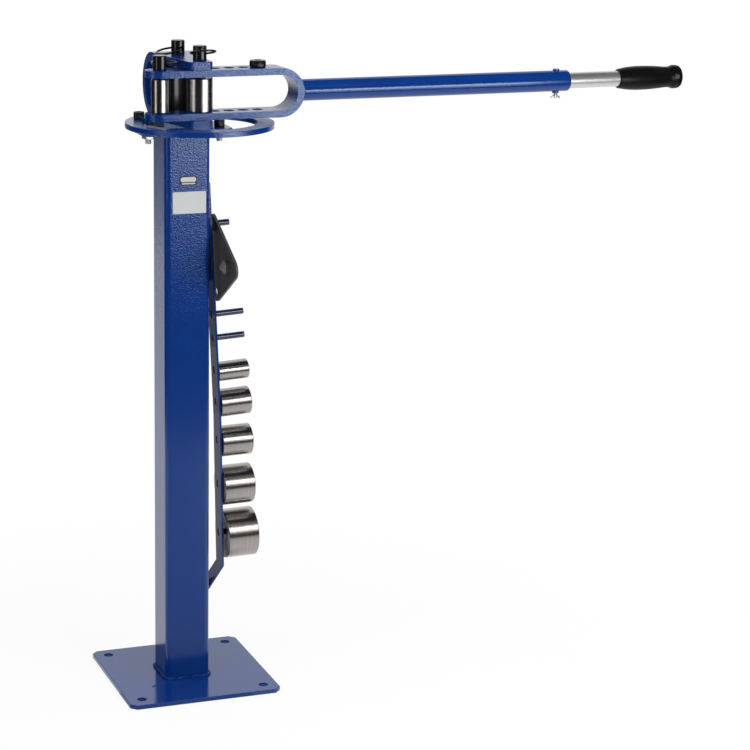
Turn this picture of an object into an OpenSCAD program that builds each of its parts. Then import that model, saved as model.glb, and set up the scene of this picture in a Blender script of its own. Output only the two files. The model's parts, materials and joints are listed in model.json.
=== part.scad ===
// Pedestal tube bender: a square post on a bolted foot carries a bending head with a
// fixed U frame, a swinging yoke with a long handle, pull pins, rollers and an angle ring.
// A bar on the post's side holds the other bending dies on pegs.
// Millimetres. Origin: middle of the foot's bolt pattern, on the floor. +X along the handle
// at rest, +Y to the back, +Z up.

/* [Foot plate] */
// Width of the square foot plate
foot_w = 240; // [180:1:320]
// Thickness of the foot plate
foot_t = 7; // [5:0.5:12]
// Corner chamfer of the foot plate
foot_chamfer = 9; // [3:1:20]
// Distance between floor bolt holes
foot_hole_pitch = 195; // [140:1:220]
// Diameter of the floor bolt holes
foot_hole_d = 14; // [8:0.5:18]

/* [Post] */
// Outside width of the square post
post_w = 70; // [50:1:100]
// Wall of the post
post_wall = 3; // [2:0.5:6]
// Outside corner radius of the post
post_corner = 8; // [4:0.5:12]
// Height of the post above the foot plate
post_h = 852; // [600:1:1100]
// Post centre from the bolt pattern centre, to the right
post_x = -4.5; // [-12:0.5:12]
// Post centre from the bolt pattern centre, to the back
post_y = 1.5; // [-12:0.5:12]
// Leg of the weld bead round the post foot
weld_leg = 6; // [3:0.5:9]

/* [Head mounting] */
// Width of the two bolted flange plates
flange_w = 138; // [120:1:160]
// Depth of the two bolted flange plates
flange_d = 84; // [72:1:110]
// Thickness of each flange plate
flange_t = 4; // [3:0.5:8]
// Distance between the flange screws
flange_screw_pitch = 110; // [100:1:120]
// Distance from the post centre forward to the flange screws
flange_screw_ahead = 13; // [-20:1:20]
// Width of the riser block under the head
riser_w = 76; // [40:1:84]
// Depth of the riser block
riser_d = 72; // [40:1:84]
// Height of the riser block
riser_t = 12; // [8:0.5:20]

/* [Bolts] */
// Thread diameter of the socket screws
screw_d = 10; // [8:1:12]
// Head diameter of the socket screws
screw_head_d = 16; // [13:1:18]
// Head height of the socket screws
screw_head_h = 10; // [6:0.5:12]
// Key width of the head socket
screw_key = 8; // [5:0.5:9]
// Length of the screws under the head
screw_len = 22; // [18:1:30]
// Width across flats of the nuts
nut_af = 17; // [15:0.5:19]
// Height of the nuts
nut_h = 6.5; // [4:0.5:8]

/* [Fixed frame] */
// Thickness of the frame bar
frame_t = 12; // [8:0.5:15]
// Width of the frame bar at the back
frame_w = 80; // [70:1:86]
// Front end of the frame legs, from the pivot to their left edge
frame_tip_left = 22; // [14:1:30]
// Front end of the frame legs, from the pivot to their right edge
frame_tip_right = 13; // [12:0.5:24]
// Chamfer on the front corners of the frame legs
frame_tip_chamfer = 5; // [1:0.5:8]
// How far the legs reach in front of the pivot
frame_reach = 25; // [16:1:34]
// Distance from the pivot back to the middle of the frame bend
frame_bend_y = 112.5; // [105:0.5:135]
// Distance from the pivot back to where the left edge reaches full width
frame_taper_y = 80; // [60:1:100]
// Distance from the pivot back to where the right edge starts to widen
frame_neck_y = 15; // [10:1:40]
// Distance from the pivot back to where the right edge reaches full width
frame_flare_y = 100; // [60:1:104]
// Distance from the post centre forward to the pivot
pivot_ahead = 92; // [80:1:110]

/* [Angle ring] */
// Outside radius of the angle ring
ring_ro = 108.5; // [100:0.5:125]
// Inside radius of the angle ring
ring_ri = 84; // [78:0.5:90]
// Thickness of the angle ring
ring_t = 8; // [5:0.5:12]
// Distance of the stop screw from the pivot
ring_screw_r = 93; // [92:0.5:100]
// Direction of the stop screw from the pivot, from +X
ring_screw_az = 145; // [125:0.5:165]
// Thickness of the silver degree scale
scale_t = 0.8; // [0.4:0.1:2]
// Width of the degree scale
scale_w = 9; // [6:0.5:14]
// First direction of the degree scale, from +X
scale_from = 198; // [180:1:200]
// Angle that the degree scale covers
scale_sweep = 24; // [20:1:100]

/* [Swing yoke] */
// Thickness of the yoke bar
yoke_t = 10; // [6:0.5:14]
// Width of the yoke legs
yoke_w = 45; // [40:1:60]
// Clear height between the yoke legs
yoke_gap = 52; // [46:0.5:64]
// Distance from the pivot to the middle of the yoke bend
yoke_bend_x = 117; // [108:0.5:150]
// End radius of the short yoke legs
yoke_tip_r = 21.5; // [14:0.5:22]
// Distance from the pivot to the follower pin
follower_dist = 60; // [54:1:70]
// Distance between the pin holes in the yoke, from the pivot towards the handle
hole_pitch = 22; // [20:0.5:26]
// Gap between yoke and fixed frame, above and below
swing_clear = 0.6; // [0.3:0.1:1.5]

/* [Handle] */
// Outside diameter of the handle tube
handle_d = 32; // [26:0.5:40]
// Wall of the handle tube
handle_wall = 3; // [2:0.25:4]
// Length of the handle tube from the yoke bend
handle_len = 434; // [300:1:600]
// Outside diameter of the sliding extension tube
ext_d = 24; // [19:0.5:25]
// Wall of the extension tube
ext_wall = 2.5; // [1.5:0.25:4]
// Length of bare extension tube that shows at rest
ext_show = 84; // [60:1:120]
// Length of the extension tube inside the handle at rest
ext_inside = 330; // [150:1:380]
// Length of the hand grip
grip_len = 106; // [90:1:140]
// Greatest diameter of the hand grip
grip_d = 37; // [32:0.5:44]
// Distance of the clamp screw from the handle tube's open end
clamp_from_end = 20; // [14:1:40]

/* [Pull pins] */
// Shank diameter of the pull pins
pin_d = 16; // [12:0.5:18]
// Running clearance of the pins, on the radius
pin_clear = 0.08; // [0.03:0.01:0.1]
// Head diameter of the pull pins
pin_head_d = 20; // [18:0.5:26]
// Head height of the pull pins
pin_head_h = 21; // [17:0.5:28]
// Height of the ring hole above the underside of the head
pin_eye_h = 9; // [6:0.5:14]
// Wire diameter of the pull rings
wire_d = 3; // [2:0.25:4]
// Radius of the pull rings to the middle of the wire
wire_r = 18; // [16:0.5:24]
// Back pin from the pivot, to the right
rear_pin_x = -10; // [-12:0.5:12]
// Back pin from the pivot, to the back
rear_pin_y = 76; // [72:0.5:96]

/* [Rollers and dies] */
// Height of every roller and die
die_h = 49; // [40:0.5:52]
// Edge chamfer of the rollers and dies
die_chamfer = 1; // [0.5:0.25:2]
// Diameter of the roller on the centre pin
centre_roller_d = 38; // [30:1:50]
// Diameter of the roller on the follower pin
follower_roller_d = 25; // [22:0.5:34]
// Diameter of the stored die, top peg
die_a_d = 30; // [24:1:34]
// Diameter of the stored die, second peg
die_b_d = 43; // [34:1:46]
// Diameter of the stored die, third peg
die_c_d = 48; // [36:1:52]
// Diameter of the stored die, fourth peg
die_d_d = 62; // [40:1:66]
// Diameter of the stored die, bottom peg
die_e_d = 76; // [50:1:80]

/* [Stop block] */
// Width of the stop block
block_w = 47; // [38:1:52]
// Depth of the stop block in front of its pin
block_front = 19; // [14:0.5:22]
// Depth of the stop block behind its pin
block_back = 17; // [12:0.5:24]
// Radius of the saddle in the front of the block
block_saddle_r = 34; // [24:1:60]
// Depth of the saddle
block_saddle_h = 5; // [1:0.5:7]

/* [Storage bar] */
// Width of the storage bar
bar_w = 32; // [26:1:40]
// Thickness of the storage bar
bar_t = 3; // [3:0.5:6]
// Length of the bar above the top peg
bar_top_len = 66; // [30:1:80]
// Gap between post and bar at the bar's slight bend
bar_mid_gap = 21; // [12:0.5:30]
// Length of the bar below the lowest die, before it turns back to the post
bar_low_len = 12; // [4:1:40]
// Gap between post and bar where it turns back
bar_low_gap = 26; // [14:0.5:34]
// Height of the stretch that turns back to the post
bar_turn_h = 38; // [30:1:60]
// Share of the post's free length that lies below the bar
bar_low_share = 0.566; // [0.4:0.001:0.7]
// Length of the bar's foot on the post
bar_foot_len = 34; // [20:1:60]
// Diameter of the storage pegs
peg_d = 9.5; // [8:0.5:12]
// Length of the long storage pegs
peg_len = 47; // [40:1:60]
// Length of the top storage peg
peg_short_len = 31; // [24:1:50]
// Diameter of the peg root in the bar
peg_root_d = 12; // [10:0.5:14]
// Clear distance between the fifth and the fourth die
die_gap_1 = 10; // [4:0.5:18]
// Clear distance between the fourth and the third die
die_gap_2 = 16; // [4:0.5:20]
// Clear distance between the third and the second die
die_gap_3 = 15.5; // [4:0.5:20]
// Clear distance between the second and the first die
die_gap_4 = 13.5; // [4:0.5:20]
// Clear distance between the first die and the lower bare peg
bare_peg_gap = 31.25; // [20:0.25:40]
// Distance between the two bare pegs
bare_peg_pitch = 37; // [30:1:44]
// Clear distance between the upper bare peg and the forming plate
plate_gap = 15.25; // [4:0.25:24]

/* [Forming plate] */
// Distance between the corner centres of the triangular forming plate
tri_side = 105; // [90:1:112]
// Corner radius of the forming plate
tri_corner = 15; // [12:0.5:18]
// Thickness of the forming plate
tri_t = 4; // [3:0.5:8]
// Height of the hub round the hanging hole
tri_hub_t = 5; // [3:0.5:8]
// Length of the stud near the front corner
tri_stud_len = 7; // [4:0.5:10]
// Diameter of the stud
tri_stud_d = 17; // [12:0.5:20]

/* [Hidden] */
$fn = 64;
// Overrun of every cut past the faces it opens
over = 1;
// Gap left between pieces on different bodies that rest on each other
seat = 0.3;
// Clearance of screws in their holes, on the radius
screw_clear = 0.3;
blue = [0.08, 0.16, 0.42];
black = [0.07, 0.07, 0.08];
steel = [0.66, 0.65, 0.63];
zinc = [0.78, 0.79, 0.8];

// Heights, from the floor up
post_top = foot_t + post_h;
post_flange_z = post_top;
head_flange_z = post_flange_z + flange_t;
riser_z = head_flange_z + flange_t;
head_z = riser_z + riser_t;
frame_h = 2 * (frame_t + swing_clear + yoke_t) + yoke_gap;
frame_top = head_z + frame_h;
frame_floor = head_z + frame_t;
frame_roof = frame_top - frame_t;
yoke_low = frame_floor + swing_clear;
yoke_floor = yoke_low + yoke_t;
yoke_roof = yoke_floor + yoke_gap;
yoke_top = yoke_roof + yoke_t;
yoke_mid = (yoke_low + yoke_top) / 2;
ring_top = head_z + ring_t;

// The pivot, the back pin and the follower pin
pivot_x = post_x;
pivot_y = post_y - pivot_ahead;
follower_x = -follower_dist;
plug_x = 4 * hole_pitch;
pin_hole_d = pin_d + 2 * pin_clear;
yoke_outer_r = yoke_t + yoke_gap / 2;
yoke_end_x = yoke_bend_x + yoke_outer_r;

// Shank lengths of the three pins, each just short of the face under it
frame_pin_len = frame_h - seat;
rear_pin_len = frame_h - seat;
yoke_pin_len = 2 * yoke_t + yoke_gap - seat;
eye_d = 2 * wire_d + 2 * seat;
// The chord of a ring inside the head, middle of its bow
ring_chord = (wire_r + sqrt(wire_r * wire_r - pin_head_d * pin_head_d / 4)) / 2;

// Handle stations along X from the pivot
handle_start = yoke_end_x - handle_d * handle_d / (8 * yoke_outer_r);
handle_end = yoke_end_x + handle_len;
ext_start = handle_end - ext_inside;
ext_bare_end = handle_end + ext_show;
ext_clear = (handle_d - 2 * handle_wall - ext_d) / 2;
clamp_x = handle_end - clamp_from_end;
clamp_boss_d = ext_d * 0.42;
clamp_boss_h = ext_d * 0.1;
clamp_thread_d = ext_d * 0.25;
clamp_stem_len = ext_d * 0.26;
wing_span = ext_d * 0.7;
wing_t = ext_d * 0.1;
wing_h = ext_d * 0.24;
button_d = ext_d * 0.42;
button_h = ext_d * 0.1;

// The storage bar hangs in the post's length, which is shared out below and above it
bar_len = bar_foot_len + bar_turn_h + bar_low_len + die_e_d + die_gap_1 + die_d_d + die_gap_2 + die_c_d
    + die_gap_3 + die_b_d + die_gap_4 + die_a_d + bare_peg_gap + peg_d + bare_peg_pitch + plate_gap
    + tri_corner + tri_side + bar_top_len;
bar_end_z = foot_t + bar_low_share * (post_h - bar_len);
bar_foot_z = bar_end_z + bar_foot_len;
bar_low_z = bar_foot_z + bar_turn_h;

// Peg heights, from the lowest die up
peg_e_z = bar_low_z + bar_low_len + die_e_d / 2;
peg_d_z = peg_e_z + die_e_d / 2 + die_gap_1 + die_d_d / 2;
peg_c_z = peg_d_z + die_d_d / 2 + die_gap_2 + die_c_d / 2;
peg_b_z = peg_c_z + die_c_d / 2 + die_gap_3 + die_b_d / 2;
peg_a_z = peg_b_z + die_b_d / 2 + die_gap_4 + die_a_d / 2;
peg_3_z = peg_a_z + die_a_d / 2 + bare_peg_gap + peg_d / 2;
peg_2_z = peg_3_z + bare_peg_pitch;
peg_1_z = peg_2_z + peg_d / 2 + plate_gap + tri_corner + tri_side;
peg_zs = [peg_1_z, peg_2_z, peg_3_z, peg_a_z, peg_b_z, peg_c_z, peg_d_z, peg_e_z];

// Storage bar line: inner face stations as [distance from the post face, height]
bar_bend_share = 0.6;
bar_top_z = peg_1_z + bar_top_len;
bar_mid_z = peg_c_z + bar_bend_share * (peg_b_z - peg_c_z);
bar_top_gap = bar_t * 0.7;
bar_line = [[bar_top_gap, bar_top_z], [bar_mid_gap, bar_mid_z], [bar_low_gap, bar_low_z], [0, bar_foot_z],
    [0, bar_end_z]];
bar_x = post_x + post_w / 2;

// Plate forms on the forming plate
tri_h = tri_side * sqrt(3) / 2;
tri_hole_d = peg_d + 2 * seat;
tri_hub_d = 2 * tri_corner * 0.72;
tri_stud_share = 0.8;

// Distance of the bar's inner face from the post at a height, on the two long stretches
function bar_gap(z) = z > bar_mid_z
    ? bar_mid_gap + (bar_top_gap - bar_mid_gap) * (z - bar_mid_z) / (bar_top_z - bar_mid_z)
    : bar_low_gap + (bar_mid_gap - bar_low_gap) * (z - bar_low_z) / (bar_mid_z - bar_low_z);
// Upward tilt of a peg that stands square on the bar at a height
function bar_tilt(z) = z > bar_mid_z
    ? atan((bar_mid_gap - bar_top_gap) / (bar_top_z - bar_mid_z))
    : atan((bar_low_gap - bar_mid_gap) / (bar_mid_z - bar_low_z));
// Touching point on a circle at [cx, 0] of a line that starts at p, above the axis
function touch(cx, r, p) =
    let (dx = p[0] - cx, dist = sqrt(dx * dx + p[1] * p[1]), a = atan2(p[1], dx) + acos(r / dist))
    [cx + r * cos(a), r * sin(a)];

// Outward direction of one stretch of the storage bar
function bar_normal(n) =
    let (d = bar_line[n + 1] - bar_line[n]) [-d[1], d[0]] / norm(d);
// Step from the bar's inner line to its outer line between two stretches
function bar_side(n, m) =
    let (a = bar_normal(n), b = bar_normal(m)) (a + b) * bar_t / (1 + a * b);

module rounded_square(w, r) {
    for (sx = [-1, 1], sy = [-1, 1])
        translate([sx * (w / 2 - r), sy * (w / 2 - r)]) circle(r = r);
    square([w, w - 2 * r], center = true);
    square([w - 2 * r, w], center = true);
}

module chamfered_rect(w, d, c) {
    polygon([[-w / 2 + c, -d / 2], [w / 2 - c, -d / 2], [w / 2, -d / 2 + c], [w / 2, d / 2 - c],
        [w / 2 - c, d / 2], [-w / 2 + c, d / 2], [-w / 2, d / 2 - c], [-w / 2, -d / 2 + c]]);
}

module at_pivot() {
    translate([pivot_x, pivot_y, 0]) children();
}

module at_post() {
    translate([post_x, post_y, 0]) children();
}

module at_flange_screws() {
    for (side = [-1, 1])
        at_post() translate([side * flange_screw_pitch / 2, -flange_screw_ahead, 0]) children();
}

module socket_screw(len) {
    difference() {
        union() {
            cylinder(d = screw_head_d, h = screw_head_h);
            translate([0, 0, -len]) cylinder(d = screw_d, h = len);
        }
        translate([0, 0, screw_head_h / 2])
            cylinder(d = screw_key / cos(30), h = screw_head_h / 2 + over, $fn = 6);
    }
}

module hex_nut() {
    difference() {
        cylinder(d = nut_af / cos(30), h = nut_h, $fn = 6);
        translate([0, 0, -over]) cylinder(d = screw_d + 2 * screw_clear, h = nut_h + 2 * over);
    }
}

// A flat bar bent to a U: outer and inner stadium, open towards -X of the sketch
module u_outline(tip, bend, inner_r, t) {
    difference() {
        union() {
            translate([bend, 0]) circle(r = inner_r + t);
            translate([tip, -inner_r - t]) square([bend - tip, 2 * (inner_r + t)]);
        }
        translate([bend, 0]) circle(r = inner_r);
        translate([tip - over, -inner_r]) square([bend - tip + over, 2 * inner_r]);
    }
}

module foot_plate() {
    color(blue) difference() {
        linear_extrude(height = foot_t) chamfered_rect(foot_w, foot_w, foot_chamfer);
        for (sx = [-1, 1], sy = [-1, 1])
            translate([sx * foot_hole_pitch / 2, sy * foot_hole_pitch / 2, -over])
                cylinder(d = foot_hole_d, h = foot_t + 2 * over);
    }
}

// Fillet weld: four mitred wedges round the post foot
module foot_weld() {
    w = post_w + 2 * weld_leg;
    color(blue) at_post() translate([0, 0, foot_t]) difference() {
        intersection() {
            rotate([90, 0, 0]) linear_extrude(height = w, center = true)
                polygon([[-w / 2, 0], [w / 2, 0], [post_w / 2, weld_leg], [-post_w / 2, weld_leg]]);
            rotate([90, 0, 90]) linear_extrude(height = w, center = true)
                polygon([[-w / 2, 0], [w / 2, 0], [post_w / 2, weld_leg], [-post_w / 2, weld_leg]]);
            linear_extrude(height = weld_leg) rounded_square(w, post_corner + weld_leg);
        }
        translate([0, 0, -over]) linear_extrude(height = weld_leg + 2 * over)
            rounded_square(post_w, post_corner);
    }
}

module post() {
    color(blue) at_post() translate([0, 0, foot_t]) difference() {
        linear_extrude(height = post_h) rounded_square(post_w, post_corner);
        translate([0, 0, -over]) linear_extrude(height = post_h + 2 * over)
            rounded_square(post_w - 2 * post_wall, post_corner - post_wall);
    }
}

module flange(z) {
    difference() {
        at_post() translate([0, 0, z]) linear_extrude(height = flange_t)
            chamfered_rect(flange_w, flange_d, foot_chamfer);
        at_flange_screws() translate([0, 0, z - over])
            cylinder(d = screw_d + 2 * screw_clear, h = flange_t + 2 * over);
    }
}

module post_flange() {
    color(blue) flange(post_flange_z);
}

module head_flange() {
    color(blue) flange(head_flange_z);
}

module riser_block() {
    color(blue) at_post() translate([-riser_w / 2, -riser_d / 2, riser_z])
        cube([riser_w, riser_d, riser_t]);
}

module flange_screws() {
    color(black) at_flange_screws() translate([0, 0, riser_z]) socket_screw(screw_len);
}

module flange_nuts() {
    color(zinc) at_flange_screws() translate([0, 0, post_flange_z - nut_h]) hex_nut();
}

module at_ring_screw() {
    at_pivot() rotate(ring_screw_az) translate([ring_screw_r, 0, 0]) children();
}

// Plan of the frame legs: narrow in front, widening to the full bar, the right edge later
module frame_plan() {
    c = frame_tip_chamfer;
    back = frame_bend_y + frame_h / 2 + over;
    polygon([[c - frame_tip_left, -frame_reach], [frame_tip_right - c, -frame_reach],
        [frame_tip_right, c - frame_reach], [frame_tip_right, frame_neck_y], [frame_w / 2, frame_flare_y],
        [frame_w / 2, back], [-frame_w / 2, back], [-frame_w / 2, frame_taper_y], [-frame_tip_left, c - frame_reach]]);
}

// The ring butts against both edges of the frame's lower leg
module angle_ring() {
    color(blue) difference() {
        at_pivot() translate([0, 0, head_z]) rotate_extrude($fn = 128)
            translate([ring_ri, 0]) square([ring_ro - ring_ri, ring_t]);
        at_pivot() translate([0, 0, head_z - over]) linear_extrude(height = ring_t + 2 * over) frame_plan();
        at_ring_screw() translate([0, 0, head_z - over])
            cylinder(d = screw_d + 2 * screw_clear, h = ring_t + 2 * over);
    }
}

module degree_scale() {
    color(zinc) at_pivot() translate([0, 0, ring_top]) rotate(scale_from)
        rotate_extrude(angle = scale_sweep, $fn = 128)
            translate([ring_ri + scale_t, 0]) square([scale_w, scale_t]);
}

module ring_stop_screw() {
    color(black) at_ring_screw() translate([0, 0, ring_top]) socket_screw(screw_len);
}

module ring_stop_nut() {
    color(zinc) at_ring_screw() translate([0, 0, head_z - nut_h]) hex_nut();
}

module fixed_frame() {
    color(blue) at_pivot() difference() {
        intersection() {
            translate([0, 0, head_z + frame_h / 2]) rotate([90, 0, 90])
                linear_extrude(height = frame_w, center = true)
                    u_outline(-frame_reach, frame_bend_y, frame_h / 2 - frame_t, frame_t, $fn = 96);
            translate([0, 0, head_z - over]) linear_extrude(height = frame_h + 2 * over) frame_plan();
        }
        translate([0, 0, head_z - over]) cylinder(d = pin_hole_d, h = frame_h + 2 * over);
        translate([rear_pin_x, rear_pin_y, head_z - over]) cylinder(d = pin_hole_d, h = frame_h + 2 * over);
    }
}

// Plan of the yoke legs: straight bar, tapered past the pivot to a round end
module yoke_plan() {
    side = [-hole_pitch, yoke_w / 2];
    t = touch(follower_x, yoke_tip_r, side);
    translate([follower_x, 0]) circle(r = yoke_tip_r);
    polygon([[follower_x, 0], t, side, [yoke_end_x + over, yoke_w / 2], [yoke_end_x + over, -yoke_w / 2],
        [side[0], -side[1]], [t[0], -t[1]]]);
}

module swing_yoke() {
    color(blue) at_pivot() difference() {
        intersection() {
            translate([0, 0, yoke_mid]) rotate([90, 0, 0]) linear_extrude(height = yoke_w + 2 * over, center = true)
                u_outline(follower_x - yoke_tip_r - over, yoke_bend_x, yoke_gap / 2, yoke_t, $fn = 96);
            translate([0, 0, yoke_low - over]) linear_extrude(height = yoke_top - yoke_low + 2 * over) yoke_plan();
        }
        for (x = [follower_x, each [0 : hole_pitch : plug_x]])
            translate([x, 0, yoke_low - over]) cylinder(d = pin_hole_d, h = yoke_top - yoke_low + 2 * over);
    }
}

// Half section of the handle tube: plain wall, closed in with a round nose round the extension
module handle_profile() {
    len = handle_end - handle_start;
    nose = handle_wall + ext_clear - seat;
    r = handle_d / 2;
    translate([r - handle_wall, 0]) square([handle_wall, len - nose]);
    intersection() {
        translate([r - nose, len - nose]) circle(r = nose, $fn = 48);
        translate([r - nose, len - nose]) square([nose, nose]);
    }
}

// The tube end is coped to the yoke's bend
module handle_tube() {
    color(blue) at_pivot() translate([0, 0, yoke_mid]) difference() {
        translate([handle_start, 0, 0]) rotate([0, 90, 0]) rotate_extrude($fn = 72) handle_profile();
        translate([yoke_bend_x, 0, 0]) rotate([90, 0, 0])
            cylinder(r = yoke_outer_r, h = handle_d + 2 * over, center = true, $fn = 96);
        translate([clamp_x, 0, -handle_d / 2 - over])
            cylinder(d = clamp_thread_d + 2 * pin_clear, h = handle_wall + 2 * over);
    }
}

// Weld collar where the handle tube meets the yoke bend
module handle_weld() {
    color(blue) at_pivot() translate([0, 0, yoke_mid]) difference() {
        translate([handle_start, 0, 0]) rotate([0, 90, 0])
            cylinder(d1 = handle_d + 2 * weld_leg * 0.7, d2 = handle_d, h = weld_leg * 1.4);
        translate([handle_start - over, 0, 0]) rotate([0, 90, 0])
            cylinder(d = handle_d, h = weld_leg * 2 + 2 * over);
        translate([yoke_bend_x, 0, 0]) rotate([90, 0, 0])
            cylinder(r = yoke_outer_r, h = handle_d * 2, center = true, $fn = 96);
    }
}

module extension_tube() {
    color(zinc) at_pivot() translate([ext_start, 0, yoke_mid]) rotate([0, 90, 0]) difference() {
        cylinder(d = ext_d, h = ext_bare_end + grip_len * 0.8 - ext_start);
        translate([0, 0, -over]) cylinder(d = ext_d - 2 * ext_wall, h = ext_bare_end + grip_len - ext_start);
    }
}

// Turned grip: collar, swelling body, neck and end flange
module hand_grip() {
    r = grip_d / 2;
    bore = ext_d / 2 + pin_clear;
    mouth = bore + r * 0.16;
    neck_share = 0.7;
    color(black) at_pivot() translate([ext_bare_end, 0, yoke_mid]) rotate([0, 90, 0]) difference() {
        rotate_extrude($fn = 72) polygon([[0, 0], [mouth, 0], [r * 0.9, grip_len * 0.015],
            [r * 0.95, grip_len * 0.05], [r * 0.97, grip_len * 0.12], [r, grip_len * 0.24],
            [r, grip_len * 0.4], [r * 0.985, grip_len * 0.55], [r * 0.95, grip_len * 0.66],
            [r * 0.925, grip_len * neck_share], [r * 0.925, grip_len * 0.74], [r * 0.97, grip_len * 0.79],
            [r * 0.985, grip_len * 0.84], [r * 0.985, grip_len * 0.95], [r * 0.93, grip_len * 0.99],
            [r * 0.86, grip_len], [0, grip_len]]);
        translate([0, 0, -over]) cylinder(r = bore, h = grip_len * 0.8 + over + seat);
    }
}

module clamp_boss() {
    color(blue) at_pivot() translate([clamp_x, 0, yoke_mid - handle_d / 2 - clamp_boss_h]) difference() {
        cylinder(d = clamp_boss_d, h = clamp_boss_h + handle_wall);
        translate([0, 0, -over]) cylinder(d = clamp_thread_d + 2 * pin_clear, h = clamp_boss_h + handle_wall + 2 * over);
        translate([0, 0, clamp_boss_h + handle_d / 2]) rotate([0, 90, 0])
            cylinder(d = handle_d, h = clamp_boss_d + 2 * over, center = true);
    }
}

// Wing screw that clamps the extension from below
module clamp_screw() {
    stem = clamp_boss_h + handle_wall + ext_clear - seat;
    color(zinc) at_pivot() translate([clamp_x, 0, yoke_mid - handle_d / 2 - clamp_boss_h]) {
        translate([0, 0, -clamp_stem_len]) cylinder(d = clamp_thread_d, h = clamp_stem_len + stem);
        translate([0, 0, -clamp_stem_len]) rotate([90, 0, 0]) linear_extrude(height = wing_t, center = true) {
            for (side = [-1, 1])
                translate([side * (wing_span - wing_h) / 2, 0]) circle(d = wing_h);
            translate([-(wing_span - wing_h) / 2, -wing_h / 4]) square([wing_span - wing_h, wing_h / 2]);
        }
    }
}

module guide_button() {
    color(blue) at_pivot() translate([clamp_x, 0, yoke_mid + handle_d / 2]) difference() {
        translate([0, 0, -button_h]) cylinder(d = button_d, h = 2 * button_h);
        translate([0, 0, -handle_d / 2]) rotate([0, 90, 0])
            cylinder(d = handle_d, h = button_d + 2 * over, center = true);
    }
}

// Pull pin: plain shank, head with chamfered edge and a cross hole for the ring
module pull_pin(len, turn) {
    edge = pin_head_d * 0.05;
    difference() {
        union() {
            translate([0, 0, -len]) cylinder(d = pin_d, h = len);
            cylinder(d = pin_head_d, h = pin_head_h - edge);
            translate([0, 0, pin_head_h - edge]) cylinder(d1 = pin_head_d, d2 = pin_head_d - 2 * edge, h = edge);
        }
        translate([0, 0, pin_eye_h]) rotate([90, 0, turn]) cylinder(d = eye_d, h = pin_head_d + 2 * over, center = true);
    }
}

// Wire ring through a cross hole; it leans by lean from level, on the side given by turn
module pull_ring(turn, lean) {
    translate([0, 0, pin_eye_h]) rotate([0, 0, turn]) rotate([0, lean, 0]) translate([ring_chord, 0, 0])
        rotate_extrude($fn = 72) translate([wire_r, 0]) circle(d = wire_d, $fn = 24);
}

centre_turn = -90;
centre_lean = -14;
rear_turn = -165;
rear_lean = 11;
follower_turn = 51;
follower_lean = 0;

module at_rear_pin() {
    at_pivot() translate([rear_pin_x, rear_pin_y, 0]) children();
}

module at_follower() {
    at_pivot() translate([follower_x, 0, 0]) children();
}

module centre_pin() {
    color(black) at_pivot() translate([0, 0, frame_top]) pull_pin(frame_pin_len, centre_turn);
}

module rear_pin() {
    color(black) at_rear_pin() translate([0, 0, frame_top]) pull_pin(rear_pin_len, rear_turn);
}

module follower_pin() {
    color(black) at_follower() translate([0, 0, yoke_top]) pull_pin(yoke_pin_len, follower_turn);
}

module centre_pull_ring() {
    color(black) at_pivot() translate([0, 0, frame_top]) pull_ring(centre_turn, centre_lean);
}

module rear_pull_ring() {
    color(black) at_rear_pin() translate([0, 0, frame_top]) pull_ring(rear_turn, rear_lean);
}

module follower_pull_ring() {
    color(black) at_follower() translate([0, 0, yoke_top]) pull_ring(follower_turn, follower_lean);
}

// A die or roller: turned sleeve with chamfered edges
module sleeve(d) {
    r = d / 2;
    b = pin_hole_d / 2;
    c = die_chamfer;
    rotate_extrude($fn = 96) polygon([[b + c / 2, 0], [r - c, 0], [r, c], [r, die_h - c], [r - c, die_h],
        [b + c / 2, die_h], [b, die_h - c / 2], [b, c / 2]]);
}

module centre_roller() {
    color(steel) at_pivot() translate([0, 0, yoke_floor + seat]) sleeve(centre_roller_d);
}

module follower_roller() {
    color(steel) at_follower() translate([0, 0, yoke_floor + seat]) sleeve(follower_roller_d);
}

module stop_block() {
    h = frame_roof - frame_floor - 2 * seat;
    c = block_back / 3;
    color(black) at_rear_pin() translate([0, 0, frame_floor + seat]) difference() {
        linear_extrude(height = h) difference() {
            polygon([[-block_w / 2, -block_front], [block_w / 2, -block_front], [block_w / 2, block_back - c],
                [block_w / 2 - c, block_back], [-block_w / 2 + c, block_back], [-block_w / 2, block_back - c]]);
            translate([0, -block_front - block_saddle_r + block_saddle_h]) circle(r = block_saddle_r, $fn = 96);
        }
        translate([0, 0, -over]) cylinder(d = pin_hole_d, h = h + 2 * over);
    }
}

// Short spare pin kept in the yoke's upper leg
module yoke_plug() {
    head_h = yoke_t;
    color(black) at_pivot() translate([plug_x, 0, yoke_top]) difference() {
        union() {
            cylinder(d = pin_d * 1.5, h = head_h);
            translate([0, 0, -yoke_t]) cylinder(d = pin_d, h = yoke_t);
        }
        translate([0, 0, head_h / 2]) cylinder(d = pin_d * 0.7, h = head_h / 2 + over, $fn = 6);
    }
}

// Side view of the storage bar: the line against the post and its mitred outer side
module bar_profile() {
    last = len(bar_line) - 1;
    outer = [for (n = [0 : last]) bar_line[n] + bar_side(n == 0 ? 0 : n - 1, n == last ? last - 1 : n)];
    polygon([each bar_line, each [for (n = [0 : last]) outer[last - n]]]);
}

module on_bar(z) {
    translate([bar_x + bar_gap(z), post_y, z]) rotate([0, 90 - bar_tilt(z), 0]) children();
}

module storage_bar() {
    color(blue) difference() {
        translate([bar_x, post_y, 0]) rotate([90, 0, 0]) linear_extrude(height = bar_w, center = true) bar_profile();
        for (z = peg_zs) on_bar(z) translate([0, 0, -bar_t]) cylinder(d = peg_root_d, h = 3 * bar_t);
    }
}

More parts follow.
